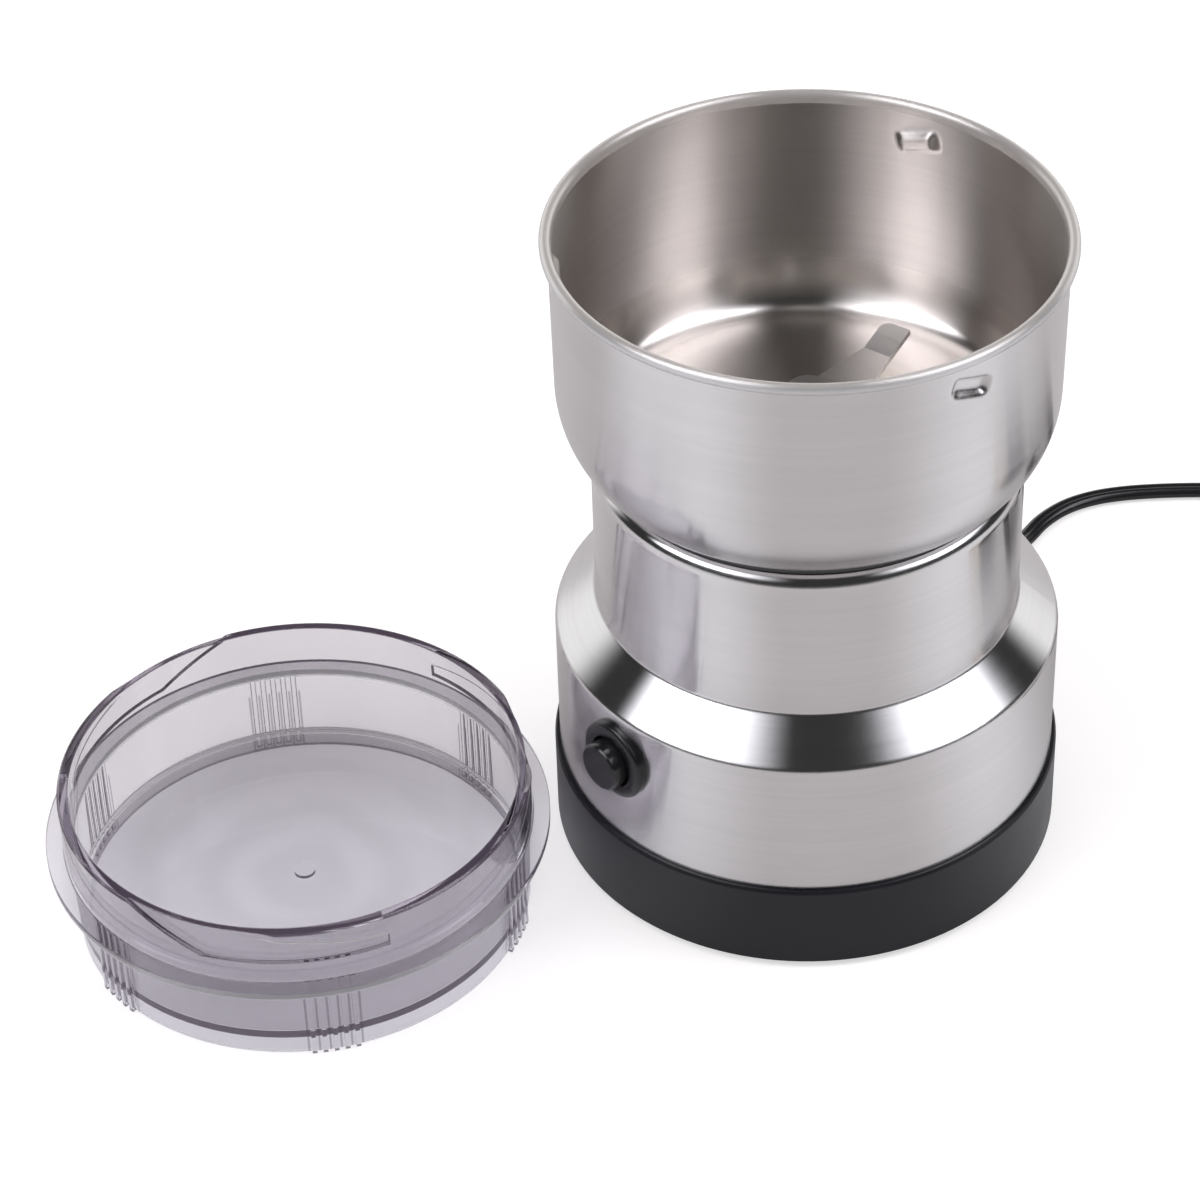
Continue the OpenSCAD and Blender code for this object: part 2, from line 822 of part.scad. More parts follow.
module field_coils() {
    depth = window_x - horn_x - 2 * coil_gap;
    color("#b5652b")
        rotate([0, 0, motor_az])
            for (s = [0, 180])
                rotate([0, 0, s])
                    translate([horn_x + coil_gap, 0, z_core + core_h / 2])
                        rotate([90, 0, 90])
                            linear_extrude(height = depth)
                                difference() {
                                    cut_rect(2 * (window_y - coil_gap), core_h + 2 * (head_h + coil_bulge), coil_chamfer);
                                    cut_rect(2 * (pole_y + coil_gap), core_h + 2 * coil_gap, 0.5);
                                }
}

module motor_screws() {
    color("silver")
        rotate([0, 0, motor_az])
            motor_corners()
                translate([0, 0, z_plate]) {
                    cylinder(r = motor_screw_r, h = z_mount + motor_screw_grip - z_plate);
                    mirror([0, 0, 1])
                        pan_head(motor_head_r, motor_head_h, 0);
                }
}

module brush_holders() {
    color("#c9a34e")
        around(2, motor_az + 90)
            difference() {
                translate([holder_in, -holder_w / 2, z_brush - holder_w / 2])
                    cube([holder_out - holder_in, holder_w, holder_w]);
                translate([holder_in - 1, -brush_w / 2 - 0.1, z_brush - brush_w / 2 - 0.1])
                    cube([holder_out - holder_in, brush_w + 0.2, brush_w + 0.2]);
            }
}

module carbon_brushes() {
    color("#26262a")
        around(2, motor_az + 90)
            difference() {
                translate([comm_r - 0.5, -brush_w / 2, z_brush - brush_w / 2])
                    cube([brush_l + 0.5, brush_w, brush_w]);
                translate([0, 0, z_comm - 1])
                    cylinder(r = comm_r + run, h = comm_h + 2);
            }
}

module brush_springs() {
    start = comm_r + brush_l;
    color("silver")
        around(2, motor_az + 90)
            translate([0, 0, z_brush])
                rotate([0, 90, 0])
                    translate([0, 0, start])
                        spring(brush_spring_r, spring_wire, holder_out - 1 - start, 5);
}

module motor_shaft() {
    color("#9a9da1")
        translate([0, 0, z_shaft])
            cylinder(r = shaft_r, h = z_blade_top + washer_t + nut_h - 1.6 - z_shaft);
}

module armature_core() {
    color("#8a8d91")
        difference() {
            translate([0, 0, z_core])
                bush(core_r, shaft_r + fit, core_h);
            around(core_slots)
                translate([core_r - slot_deep, -1.2, z_core - 1])
                    cube([slot_deep + 1, 2.4, core_h + 2]);
        }
}

module armature_windings() {
    head_r = core_r - 1.2;
    head_in_r = shaft_r + 2;
    color("#b5652b") {
        for (z = [z_core - head_h, z_core_top])
            translate([0, 0, z])
                rotate_extrude()
                    translate([(head_r + head_in_r) / 2, head_h / 2])
                        cut_rect(head_r - head_in_r, head_h, 1.8);
        around(core_slots)
            translate([core_r - slot_deep + 0.2, -1, z_core - eps])
                cube([slot_deep - 1.4, 2, core_h + 2 * eps]);
    }
}

module commutator() {
    bars = 20;
    color("#b87333")
        difference() {
            translate([0, 0, z_comm])
                bush(comm_r, shaft_r + fit, comm_h);
            around(bars)
                translate([comm_r - 0.8, -0.25, z_comm - 1])
                    cube([2, 0.5, comm_h + 2]);
        }
}

module cooling_fan() {
    vanes = 9;
    disc_t = 1.4;
    core = 7;
    vane_r = 16;
    color("#e8e4da")
        difference() {
            union() {
                translate([0, 0, z_fan])
                    cylinder(r = fan_r, h = disc_t);
                translate([0, 0, z_fan])
                    cylinder(r = core, h = fan_h);
                intersection() {
                    around(vanes)
                        translate([core - 1, vane_r, z_fan + disc_t - eps])
                            rotate_extrude(angle = 80, start = -90)
                                translate([vane_r - 1, 0])
                                    square([1, fan_h - disc_t]);
                    cylinder(r = fan_r, h = z_mount);
                }
            }
            translate([0, 0, z_fan - 1])
                cylinder(r = shaft_r + fit, h = fan_h + 2);
        }
}

// ---------- blade ----------

module blade_collar() {
    color("#c9a34e")
        translate([0, 0, z_collar])
            bush(collar_r, shaft_r + fit, collar_t);
}

// One wing: flat and tapering to its bend, then rising to a tip with one rounded corner
module wing() {
    flat = [[0, -blade_mid_w / 2], [bend_r, -wing_w / 2], [bend_r, wing_w / 2], [0, blade_mid_w / 2]];
    slope = atan2(tip_rise, tip_r - bend_r);
    tip_len = norm([tip_rise, tip_r - bend_r]);
    tip_round = 2.2;
    linear_extrude(height = blade_t)
        polygon(flat);
    translate([bend_r, 0, 0])
        rotate([0, -slope, 0])
            difference() {
                translate([-blade_t * tan(slope / 2), -wing_w / 2, 0])
                    cube([tip_len + blade_t * tan(slope / 2), wing_w, blade_t]);
                translate([tip_len - tip_round, wing_w / 2 - tip_round, -1])
                    difference() {
                        cube([tip_round + 1, tip_round + 1, blade_t + 2]);
                        cylinder(r = tip_round, h = blade_t + 2);
                    }
            }
}

module blade() {
    color("gainsboro")
        translate([0, 0, z_blade])
            rotate([0, 0, blade_az])
                difference() {
                    around(2)
                        wing();
                    translate([0, 0, -1])
                        cylinder(r = shaft_r + fit, h = blade_t + 2);
                }
}

module blade_nut() {
    color("gainsboro")
        translate([0, 0, z_blade_top])
            difference() {
                union() {
                    cylinder(r = collar_r, h = washer_t);
                    translate([0, 0, washer_t - eps])
                        intersection() {
                            cylinder(r = nut_r, h = nut_h, $fn = 6);
                            cylinder(r1 = nut_r + 1.5, r2 = nut_tip_r, h = nut_h);
                        }
                }
                translate([0, 0, -1])
                    cylinder(r = shaft_r + fit, h = washer_t + nut_h - 0.5);
            }
}

// ---------- switch ----------

module switch_bezel() {
    crest_r = recess_r + 1;
    chamfer = 0.3;
    floor_x = barrel_back + barrel_floor_t;
    crown = [for (a = [0:15:90])
        [crest_r + (bezel_r - crest_r) * cos(a), drum_r + bezel_rim + (bezel_out - bezel_rim) * sin(a)]];
    color("#1f1f22")
        difference() {
            facing(button_az, z_button)
                rotate_extrude()
                    polygon(concat([[stem_r + run, barrel_back], [bezel_r, barrel_back]], crown,
                        [[recess_r + chamfer, bezel_face - chamfer / 2], [recess_r, bezel_face - 2 * chamfer],
                            [recess_r, floor_x], [stem_r + run, floor_x]]));
            difference() {
                cylinder(r = drum_r + fit, h = z_column);
                facing(button_az, z_button)
                    cylinder(r = barrel_r, h = base_r);
            }
        }
}

module switch_nut() {
    color("#3a3a3e")
        facing(button_az, z_button)
            translate([0, 0, nut_face - switch_nut_t])
                difference() {
                    cylinder(r = switch_nut_r, h = switch_nut_t, $fn = 12);
                    translate([0, 0, -1])
                        cylinder(r = barrel_r + fit, h = 10);
                }
}

module switch_body() {
    color("#1f1f22")
        facing(button_az, z_button)
            translate([0, 0, barrel_back - switch_depth])
                difference() {
                    translate([-switch_tall / 2, -switch_w / 2, 0])
                        cube([switch_tall, switch_w, switch_depth]);
                    translate([0, 0, switch_depth - stem_room])
                        cylinder(r = stem_r + 0.3, h = 10);
                }
}

module switch_terminals() {
    color("#c9a34e")
        facing(button_az, z_button)
            for (s = [-1, 1])
                translate([s * terminal_place - terminal_t / 2, -terminal_w / 2, switch_rear])
                    difference() {
                        cube([terminal_t, terminal_w, terminal_l]);
                        translate([-1, terminal_w / 2, 1.4])
                            rotate([0, 90, 0])
                                cylinder(r = 0.7, h = 3);
                    }
}

module push_button() {
    cup_r = button_r - 0.8;
    color("#19191b")
        facing(button_az, z_button)
            difference() {
                union() {
                    translate([0, 0, button_face - button_len])
                        cylinder(r = button_r, h = button_len - 0.4);
                    translate([0, 0, button_face - 0.4 - eps])
                        cylinder(r1 = button_r, r2 = button_r - 0.4, h = 0.4 + eps);
                    translate([0, 0, stem_tip])
                        cylinder(r = stem_r, h = button_face - 1 - stem_tip);
                }
                translate([0, 0, button_face - button_len - 1])
                    bush(cup_r, stem_r, button_len + 1 - button_face_t);
            }
}

module button_spring() {
    seat = barrel_back + barrel_floor_t;
    length = button_face - button_face_t - seat;
    color("silver")
        facing(button_az, z_button)
            translate([0, 0, seat])
                spring(button_spring_r, spring_wire, length, 6);
}

// ---------- cord and plug ----------

// Radius of the strain relief at a distance x from the base ring
function relief_taper(x) = relief_root_r - relief_slope * x;

module strain_relief() {
    collar_t = 1.6;
    collar_r = 5.6;
    neck = cord_hole_r - 0.05;
    groove = 0.6;
    inner = sqrt(pow(ring_in_r, 2) - pow(relief_r, 2)) - 0.1;
    grooves = [for (x = [5:4:13]) let (r = relief_taper(x) - groove)
        each [[relief_taper(x), base_r + x], [r, base_r + x], [r, base_r + x + 1],
            [relief_taper(x + 1), base_r + x + 1]]];
    color("#222224")
        facing(cord_az, cord_z)
            rotate_extrude()
                polygon(concat(
                    [[0, inner - 2.5], [relief_r, inner - 2.5], [relief_r, inner], [neck, inner], [neck, base_r],
                        [collar_r, base_r], [collar_r, base_r + collar_t], [relief_taper(0), base_r + collar_t]],
                    grooves,
                    [[relief_taper(sleeve_l), base_r + sleeve_l], [0, base_r + sleeve_l]]));
}

module cord_lead() {
    color("#1c1c1e")
        sweep(lead_route, cord_w, cord_t);
}

module cord_coil() {
    color("#1c1c1e")
        translate([coil_centre[0], coil_centre[1], 0])
            rotate_extrude()
                translate([coil_turn_r + cord_w / 2 - coil_rings * coil_pitch, 0])
                    square([coil_rings * coil_pitch, coil_layers * cord_t]);
}

module cord_tail() {
    color("#1c1c1e")
        sweep(tail_route, cord_w, cord_t);
}

module plug_body() {
    shoulder_l = 16;
    color("#1c1c1e")
        translate([plug_x, plug_y, plug_t / 2])
            rotate([90, 0, 0]) {
                cylinder(r1 = 3, r2 = 5, h = plug_sleeve_l + 1);
                hull() {
                    translate([0, 0, plug_sleeve_l])
                        linear_extrude(height = 1)
                            cut_rect(plug_back_w, 10, 2);
                    translate([0, 0, plug_sleeve_l + shoulder_l])
                        linear_extrude(height = plug_body_l - shoulder_l)
                            cut_rect(plug_w, plug_t, 3);
                }
            }
}

module plug_pins() {
    face = plug_sleeve_l + plug_body_l;
    tip_l = 1.2;
    tip_in = 0.9;
    color("#c9b37a")
        translate([plug_x, plug_y, plug_t / 2])
            rotate([90, 0, 0])
                for (s = [-1, 1])
                    translate([s * pin_gap / 2, 0, face]) {
                        cylinder(r = pin_r, h = pin_l - tip_l);
                        translate([0, 0, pin_l - tip_l - eps])
                            cylinder(r1 = pin_r, r2 = pin_r - tip_in, h = tip_l + eps);
                    }
}

// ---------- lid, upside down on the table ----------

module lid_shell() {
    rotate_extrude()
        difference() {
            polygon([[0, 0], [grip_r - grip_lean, 0], [grip_r, lid_grip_h - lid_flange_t],
                [lid_flange_r, lid_grip_h - lid_flange_t], [lid_flange_r, lid_grip_h],
                [skirt_r, lid_grip_h], [skirt_r, lid_h - lid_chamfer], [skirt_r - lid_chamfer, lid_h], [0, lid_h]]);
            translate([-1, lid_floor_z])
                square([lid_inner_r + 1, lid_h]);
            translate([-1, -1])
                square([grip_r - grip_lean - lid_wall + 1, lid_sink + 1]);
        }
}

// A piece of the skirt between two directions and two radii
module skirt_sector(a0, a1, r_in, r_out, z0, z1) {
    rotate([0, 0, a0])
        rotate_extrude(angle = a1 - a0)
            translate([r_in, z0])
                square([r_out - r_in, z1 - z0]);
}

// The channel that a lug enters by its ramp, ending at direction 0 under the hook
module lug_channel() {
    span = ledge_span + ramp_span;
    ledge_z = lid_grip_h + ledge_h;
    top = lid_h + 1;
    half = skirt_r * sin(ramp_span / 2);
    drop = (lid_h - ledge_z) / (2 * half);
    difference() {
        skirt_sector(-span, 0, channel_r, skirt_r + 1, ledge_z - 1, top);
        rotate([0, 0, ramp_span / 2 - span])
            rotate([90, 0, 90])
                linear_extrude(height = skirt_r + 2)
                    polygon([[-half - 3, lid_h + 3 * drop], [half, ledge_z], [skirt_r, ledge_z],
                        [skirt_r, ledge_z - 2], [-half - 3, ledge_z - 2]]);
        lug_hook();
    }
}

// The hook over the last part of the channel: thick at its root, thin at its free tip
module lug_hook() {
    half = skirt_r * sin(hook_span / 2);
    root_z = lid_h - hook_t;
    tip_z = lid_h - hook_tip_t;
    top = lid_h + 2;
    tip = polar(channel_r, -hook_span);
    slant = unit(polar(skirt_r, hook_taper - hook_span) - tip);
    intersection() {
        skirt_sector(-hook_span - 8, 2, channel_r - 1, skirt_r + 2, root_z - 1, top);
        rotate([0, 0, -hook_span / 2])
            translate([channel_r - 6, 0, 0])
                rotate([90, 0, 90])
                    linear_extrude(height = 12)
                        polygon([[-half - 9, tip_z], [-half, tip_z], [half - 1, root_z], [half + 3, root_z],
                            [half + 3, top], [-half - 9, top]]);
        linear_extrude(height = top)
            polygon([tip - 4 * slant, tip + 12 * slant, polar(2 * skirt_r, 15), [0, 0]]);
    }
}

module grip_ribs() {
    for (i = [0:ribs - 1])
        rotate([0, 0, (i - (ribs - 1) / 2) * rib_pitch])
            translate([grip_r - grip_lean - rib_root, -rib_w / 2, lid_chamfer])
                cube([rib_root + grip_lean + rib_out, rib_w, lid_grip_h - lid_flange_t - lid_chamfer + eps]);
}

module lid() {
    color("#b9b5c4", 0.6)
        translate([lid_place[0], lid_place[1], 0])
            difference() {
                union() {
                    lid_shell();
                    translate([0, 0, lid_floor_z - 1])
                        cylinder(r = gate_r, h = 1 + gate_h);
                    around(rib_groups, rib_az)
                        grip_ribs();
                }
                around(channels, channel_az)
                    lug_channel();
            }
}

steel_housing();
base_ring();
bottom_cover();
rubber_feet();
base_screws();
bowl();
bowl_ring_nut();
shaft_seal();
motor_mount();
upper_bearing();
lower_bracket();
lower_bearing();
stator_core();
field_coils();
motor_screws();
brush_holders();
carbon_brushes();
brush_springs();
switch_bezel();
switch_nut();
switch_body();
switch_terminals();
button_spring();
push_button();
strain_relief();
cord_clamp();
clamp_screws();
cord_lead();
cord_coil();
cord_tail();
plug_body();
plug_pins();
motor_shaft();
armature_core();
armature_windings();
commutator();
cooling_fan();
blade_collar();
blade();
blade_nut();
lid();
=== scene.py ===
"""Looks of the electric spice grinder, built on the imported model. Lengths are in metres."""
import math

import bpy
from mathutils import Matrix, Vector
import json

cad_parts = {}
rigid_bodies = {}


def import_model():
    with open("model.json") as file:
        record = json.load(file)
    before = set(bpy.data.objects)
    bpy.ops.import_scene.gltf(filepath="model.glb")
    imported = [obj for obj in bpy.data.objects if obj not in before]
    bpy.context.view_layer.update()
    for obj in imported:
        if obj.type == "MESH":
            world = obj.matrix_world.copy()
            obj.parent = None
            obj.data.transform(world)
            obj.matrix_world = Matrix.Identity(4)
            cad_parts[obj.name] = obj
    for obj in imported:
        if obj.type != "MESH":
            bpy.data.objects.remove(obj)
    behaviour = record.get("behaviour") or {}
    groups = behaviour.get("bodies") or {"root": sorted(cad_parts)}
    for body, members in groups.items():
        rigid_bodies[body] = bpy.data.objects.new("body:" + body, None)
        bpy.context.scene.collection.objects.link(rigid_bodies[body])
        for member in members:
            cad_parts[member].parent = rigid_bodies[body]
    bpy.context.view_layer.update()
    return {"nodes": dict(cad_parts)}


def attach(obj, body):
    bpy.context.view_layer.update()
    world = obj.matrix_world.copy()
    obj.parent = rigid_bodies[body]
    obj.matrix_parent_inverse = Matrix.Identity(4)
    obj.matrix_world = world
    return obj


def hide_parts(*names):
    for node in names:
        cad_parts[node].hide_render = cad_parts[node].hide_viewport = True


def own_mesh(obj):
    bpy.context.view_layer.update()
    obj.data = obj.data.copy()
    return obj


for leftover in list(bpy.data.objects):
    bpy.data.objects.remove(leftover)
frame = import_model()
nodes = frame["nodes"]
scene = bpy.context.scene
scene.view_settings.view_transform = "Standard"

# ---------- camera ----------

FOCAL_MM = 114.3
SENSOR_MM = 36.0
CAMERA_PLACE = (0.0, -0.5871, 0.5276)
CAMERA_PITCH = 38.18  # degrees down from level
CAMERA_ROLL = 0.49  # degrees
CAMERA_SHIFT = (-0.1727, -0.0473)
CAMERA_CLIP = (0.01, 50.0)


def add_camera():
    """The photograph's camera, as fitted to the object's round edges."""
    data = bpy.data.cameras.new("camera")
    data.lens = FOCAL_MM
    data.sensor_width = SENSOR_MM
    data.shift_x, data.shift_y = CAMERA_SHIFT
    data.clip_start, data.clip_end = CAMERA_CLIP
    camera = bpy.data.objects.new("camera", data)
    scene.collection.objects.link(camera)
    tilt = Matrix.Rotation(math.radians(90 - CAMERA_PITCH), 4, "X")
    roll = Matrix.Rotation(math.radians(CAMERA_ROLL), 4, "Z")
    camera.matrix_world = Matrix.Translation(CAMERA_PLACE) @ tilt @ roll
    scene.camera = camera


# ---------- node helpers ----------

BEVEL_SAMPLES = 8
NOISE_SPAN = (0.3, 0.7)  # where most values of a noise lie
FACING_SOFT = 0.2  # how softly the inner side of a wall ends, as a part of the normal


class Graph:
    """A node tree with short calls for the nodes that the materials share."""

    def __init__(self, tree):
        self.tree = tree
        tree.nodes.clear()

    def add(self, kind, **settings):
        node = self.tree.nodes.new(kind)
        for name, value in settings.items():
            setattr(node, name, value)
        return node

    def link(self, source, target):
        self.tree.links.new(source, target)

    def put(self, socket, value):
        """Links a socket to a socket, and sets it to anything else."""
        if isinstance(value, bpy.types.NodeSocket):
            self.link(value, socket)
        else:
            socket.default_value = value

    def math(self, operation, a, b=0.0, c=0.0):
        node = self.add("ShaderNodeMath", operation=operation)
        for socket, value in zip(node.inputs, (a, b, c)):
            self.put(socket, value)
        return node.outputs[0]

    def ramp(self, value, low, high, from_value=0.0, to_value=1.0, kind="SMOOTHSTEP"):
        node = self.add("ShaderNodeMapRange", interpolation_type=kind)
        for name, item in (("Value", value), ("From Min", low), ("From Max", high),
                           ("To Min", from_value), ("To Max", to_value)):
            self.put(node.inputs[name], item)
        return node.outputs["Result"]

    def slopes(self, value, rise_from, rise_to, fall_from, fall_to):
        """1 from rise_to to fall_from and 0 outside; where the slopes cross, their product."""
        rise = self.ramp(value, rise_from, rise_to)
        fall = self.ramp(value, fall_from, fall_to, 1.0, 0.0)
        return self.math("MULTIPLY", rise, fall)

    def window(self, value, low, high, soft):
        """1 where value lies between low and high, with soft edges."""
        return self.slopes(value, low - soft, low + soft, high - soft, high + soft)

    def mix(self, factor, a, b):
        """Colour a where factor is 0 and b where it is 1."""
        node = self.add("ShaderNodeMix", data_type="RGBA")
        self.put(node.inputs["Factor"], factor)
        self.put(node.inputs["A"], a)
        self.put(node.inputs["B"], b)
        return node.outputs["Result"]

    def blend(self, factor, a, b):
        """The same as mix, for plain numbers."""
        node = self.add("ShaderNodeMix", data_type="FLOAT")
        for index, item in ((0, factor), (2, a), (3, b)):
            self.put(node.inputs[index], item)
        return node.outputs[0]

    def mix_shaders(self, factor, a, b):
        """The same as mix, for shaders."""
        node = self.add("ShaderNodeMixShader")
        self.put(node.inputs["Fac"], factor)
        self.link(a, node.inputs[1])
        self.link(b, node.inputs[2])
        return node.outputs[0]

    def waves(self, value, length):
        """A sine wave of a given length along a value in metres, from -1 to 1."""
        return self.math("SINE", self.math("MULTIPLY", value, math.tau / length))

    def noise(self, vector, scale, detail=2.0, roughness=0.5):
        node = self.add("ShaderNodeTexNoise")
        self.put(node.inputs["Vector"], vector)
        node.inputs["Scale"].default_value = scale
        node.inputs["Detail"].default_value = detail
        node.inputs["Roughness"].default_value = roughness
        return node.outputs["Fac"]

    def bump(self, height, strength, distance, normal=None):
        node = self.add("ShaderNodeBump")
        if normal:
            self.link(normal, node.inputs["Normal"])
        node.inputs["Strength"].default_value = strength
        node.inputs["Distance"].default_value = distance
        self.put(node.inputs["Height"], height)
        return node.outputs["Normal"]

    def rounded(self, radius):
        """The normal with the edges softened to a radius in metres."""
        node = self.add("ShaderNodeBevel", samples=BEVEL_SAMPLES)
        node.inputs["Radius"].default_value = radius
        return node.outputs[0]

    def reach(self, x, y, centre=(0.0, 0.0)):
        """The distance from an upright axis."""
        x = self.math("SUBTRACT", x, centre[0])
        y = self.math("SUBTRACT", y, centre[1])
        return self.math("SQRT", self.math("ADD", self.math("MULTIPLY", x, x), self.math("MULTIPLY", y, y)))

    def inside(self, x, y, radius):
        """1 on surfaces that face the axis or look up, 0 on those that face away or down."""
        nx, ny, nz = self.parts(self.add("ShaderNodeNewGeometry").outputs["Normal"])
        outward = self.math("ADD", self.math("MULTIPLY", nx, x), self.math("MULTIPLY", ny, y))
        facing = self.math("SUBTRACT", nz, self.math("DIVIDE", outward, radius))
        return self.ramp(facing, -FACING_SOFT, FACING_SOFT)

    def place(self):
        """The place of a shading point in the frame, in metres."""
        return self.add("ShaderNodeTexCoord").outputs["Object"]

    def parts(self, vector):
        """The x, y and z of a vector."""
        node = self.add("ShaderNodeSeparateXYZ")
        self.put(node.inputs[0], vector)
        return node.outputs

    def vector(self, x, y, z):
        node = self.add("ShaderNodeCombineXYZ")
        for socket, value in zip(node.inputs, (x, y, z)):
            self.put(socket, value)
        return node.outputs[0]


def rgb(r, g, b):
    """An opaque colour."""
    return (r, g, b, 1.0)


def new_material(name, colour, roughness, **constants):
    """A material with one Principled shader; returns it, its graph and its shader."""
    material = bpy.data.materials.new(name)
    material.use_nodes = True
    graph = Graph(material.node_tree)
    out = graph.add("ShaderNodeOutputMaterial")
    shader = graph.add("ShaderNodeBsdfPrincipled")
    graph.link(shader.outputs[0], out.inputs["Surface"])
    graph.put(shader.inputs["Base Color"], colour)
    graph.put(shader.inputs["Roughness"], roughness)
    for key, value in constants.items():
        shader.inputs[key.replace("_", " ")].default_value = value
    return material, graph, shader


def dress(node, material):
    """Gives a CAD node its material, with the node's own material slots kept."""
    mesh = nodes[node].data
    if not mesh.materials:
        mesh.materials.append(material)
    for i in range(len(mesh.materials)):
        mesh.materials[i] = material


# ---------- world and floor ----------

# Directions are in degrees: across from the camera's side (0 is towards it, 90 to the right) and up.
# Each light rises between its first two directions and falls between its last two.
#
# Two soft boxes, seen in reflections and through clear plastic
LEFT_BOX = (-93, -78, -74, -6)
RIGHT_BOX = (32, 98, 82, 117)
BOX_UP = (27, 33, 75, 81)
BOX_LIGHT = (4.3, 5.2)
BOX_TINT = (0.97, 0.97, 1.03)
# White backdrop behind the object, seen in the same way
BACKDROP_LEFT = (-118, -100)
BACKDROP_RIGHT = (114, 127)
BACKDROP_UP = (-6, 3, 21, 31)
BACKDROP_LIGHT = 1.1
# The rest of the room, and a weak light straight above
ROOM_LIGHT = 0.04
ZENITH_UP = (80, 88)
ZENITH_LIGHT = 0.5
# Even light on matt surfaces, and how far the room is lifted towards white behind clear plastic
SOFT_LIGHT = 0.62
THROUGH_LIGHT = 0.35
# Pools of light on the floor, which only reflections see
LEFT_POOL = (-100, -70, -46, -8)
RIGHT_POOL = (28, 72, 74, 122)
POOL_LIGHT = (0.265, 0.278, 0.298)
FLOOR_COLOUR = rgb(0.585, 0.56, 0.553)
FLOOR_WHITE = 0.56  # added for the camera and behind clear plastic, so that the lit floor comes out white
FLOOR_SIZE = 3.0
LID_PLACE = (-0.0997, -0.03029)
LID_SHADE = (0.045, 0.052, 0.35)  # where the shade under the lid starts and ends, and its depth
WHITE = rgb(1, 1, 1)
BLACK = rgb(0, 0, 0)


def across_from_camera(graph, x, y):
    """The direction around the upright axis, from the photograph's side, in degrees."""
    return graph.math("DEGREES", graph.math("ARCTAN2", x, graph.math("MULTIPLY", y, -1.0)))


def add_world():
    """White for the camera, the room and its lamps for reflections, and even light for the rest."""
    world = bpy.data.worlds.new("studio")
    scene.world = world
    world.use_nodes = True
    graph = Graph(world.node_tree)
    out = graph.add("ShaderNodeOutputWorld")
    background = graph.add("ShaderNodeBackground")
    graph.link(background.outputs[0], out.inputs["Surface"])
    x, y, z = graph.parts(graph.add("ShaderNodeTexCoord").outputs["Generated"])
    across = across_from_camera(graph, x, y)
    up = graph.math("DEGREES", graph.math("ARCSINE", z))
    left = graph.math("MULTIPLY", graph.slopes(across, *LEFT_BOX), BOX_LIGHT[0])
    right = graph.math("MULTIPLY", graph.slopes(across, *RIGHT_BOX), BOX_LIGHT[1])
    boxes = graph.math("MULTIPLY", graph.math("ADD", left, right), graph.slopes(up, *BOX_UP))
    behind = graph.math("ADD", graph.ramp(across, *BACKDROP_LEFT, 1.0, 0.0), graph.ramp(across, *BACKDROP_RIGHT))
    backdrop = graph.math("MULTIPLY", behind, graph.slopes(up, *BACKDROP_UP))
    backdrop = graph.math("MULTIPLY", backdrop, BACKDROP_LIGHT)
    zenith = graph.ramp(up, *ZENITH_UP, 0.0, ZENITH_LIGHT)
    rest = graph.math("ADD", backdrop, graph.math("ADD", zenith, ROOM_LIGHT))
    seen = graph.vector(*(graph.math("MULTIPLY_ADD", boxes, tint, rest) for tint in BOX_TINT))
    path = graph.add("ShaderNodeLightPath")
    lift = graph.math("MULTIPLY", path.outputs["Is Transmission Ray"], THROUGH_LIGHT)
    seen = graph.mix(lift, seen, WHITE)
    soft = graph.mix(path.outputs["Is Diffuse Ray"], seen, rgb(SOFT_LIGHT, SOFT_LIGHT, SOFT_LIGHT))
    graph.put(background.inputs["Color"], graph.mix(path.outputs["Is Camera Ray"], soft, WHITE))


def add_floor():
    """The table: matt and lit for shadows, lifted to white for the camera, with pools for reflections alone."""
    bpy.ops.mesh.primitive_plane_add(size=FLOOR_SIZE, location=(0, 0, 0))
    floor = bpy.context.object
    floor.name = "floor"
    material = bpy.data.materials.new("floor_white")
    material.use_nodes = True
    graph = Graph(material.node_tree)
    out = graph.add("ShaderNodeOutputMaterial")
    diffuse = graph.add("ShaderNodeBsdfDiffuse")
    diffuse.inputs["Color"].default_value = FLOOR_COLOUR
    glow = graph.add("ShaderNodeEmission")
    path = graph.add("ShaderNodeLightPath")
    x, y, _ = graph.parts(graph.place())
    across = across_from_camera(graph, x, y)
    pools = graph.math("ADD", graph.slopes(across, *LEFT_POOL), graph.slopes(across, *RIGHT_POOL))
    pools = graph.math("MULTIPLY", pools, path.outputs["Is Glossy Ray"])
    white = graph.math("MAXIMUM", path.outputs["Is Camera Ray"], path.outputs["Is Transmission Ray"])
    white = graph.math("MULTIPLY", white, FLOOR_WHITE)
    inner, outer, depth = LID_SHADE
    shade = graph.ramp(graph.reach(x, y, LID_PLACE), inner, outer, 1 - depth, 1.0)
    shade = graph.math("MAXIMUM", shade, path.outputs["Is Camera Ray"])
    white = graph.math("MULTIPLY", white, shade)
    graph.put(glow.inputs["Color"],
              graph.vector(*(graph.math("MULTIPLY_ADD", pools, light, white) for light in POOL_LIGHT)))
    both = graph.add("ShaderNodeAddShader")
    graph.link(diffuse.outputs[0], both.inputs[0])
    graph.link(glow.outputs[0], both.inputs[1])
    graph.link(both.outputs[0], out.inputs["Surface"])
    floor.data.materials.append(material)


# ---------- materials ----------

# Marks of turning and brushing on steel: their scale around the axis and across it
FINE_RINGS = (0.5, 5600)
BROAD_RINGS = (0.3, 700)
RING_BUMP = (0.1, 0.000006)  # strength and height
CLOUD_SCALE = (35.0, 35.0, 140.0)
CLOUD_SHADE = 0.93  # how dark the clouds and marks become at most


def stretched(graph, vector, scales):
    """A vector with its three parts scaled by as many numbers."""
    return graph.vector(*(graph.math("MULTIPLY", part, scale) for part, scale in zip(graph.parts(vector), scales)))


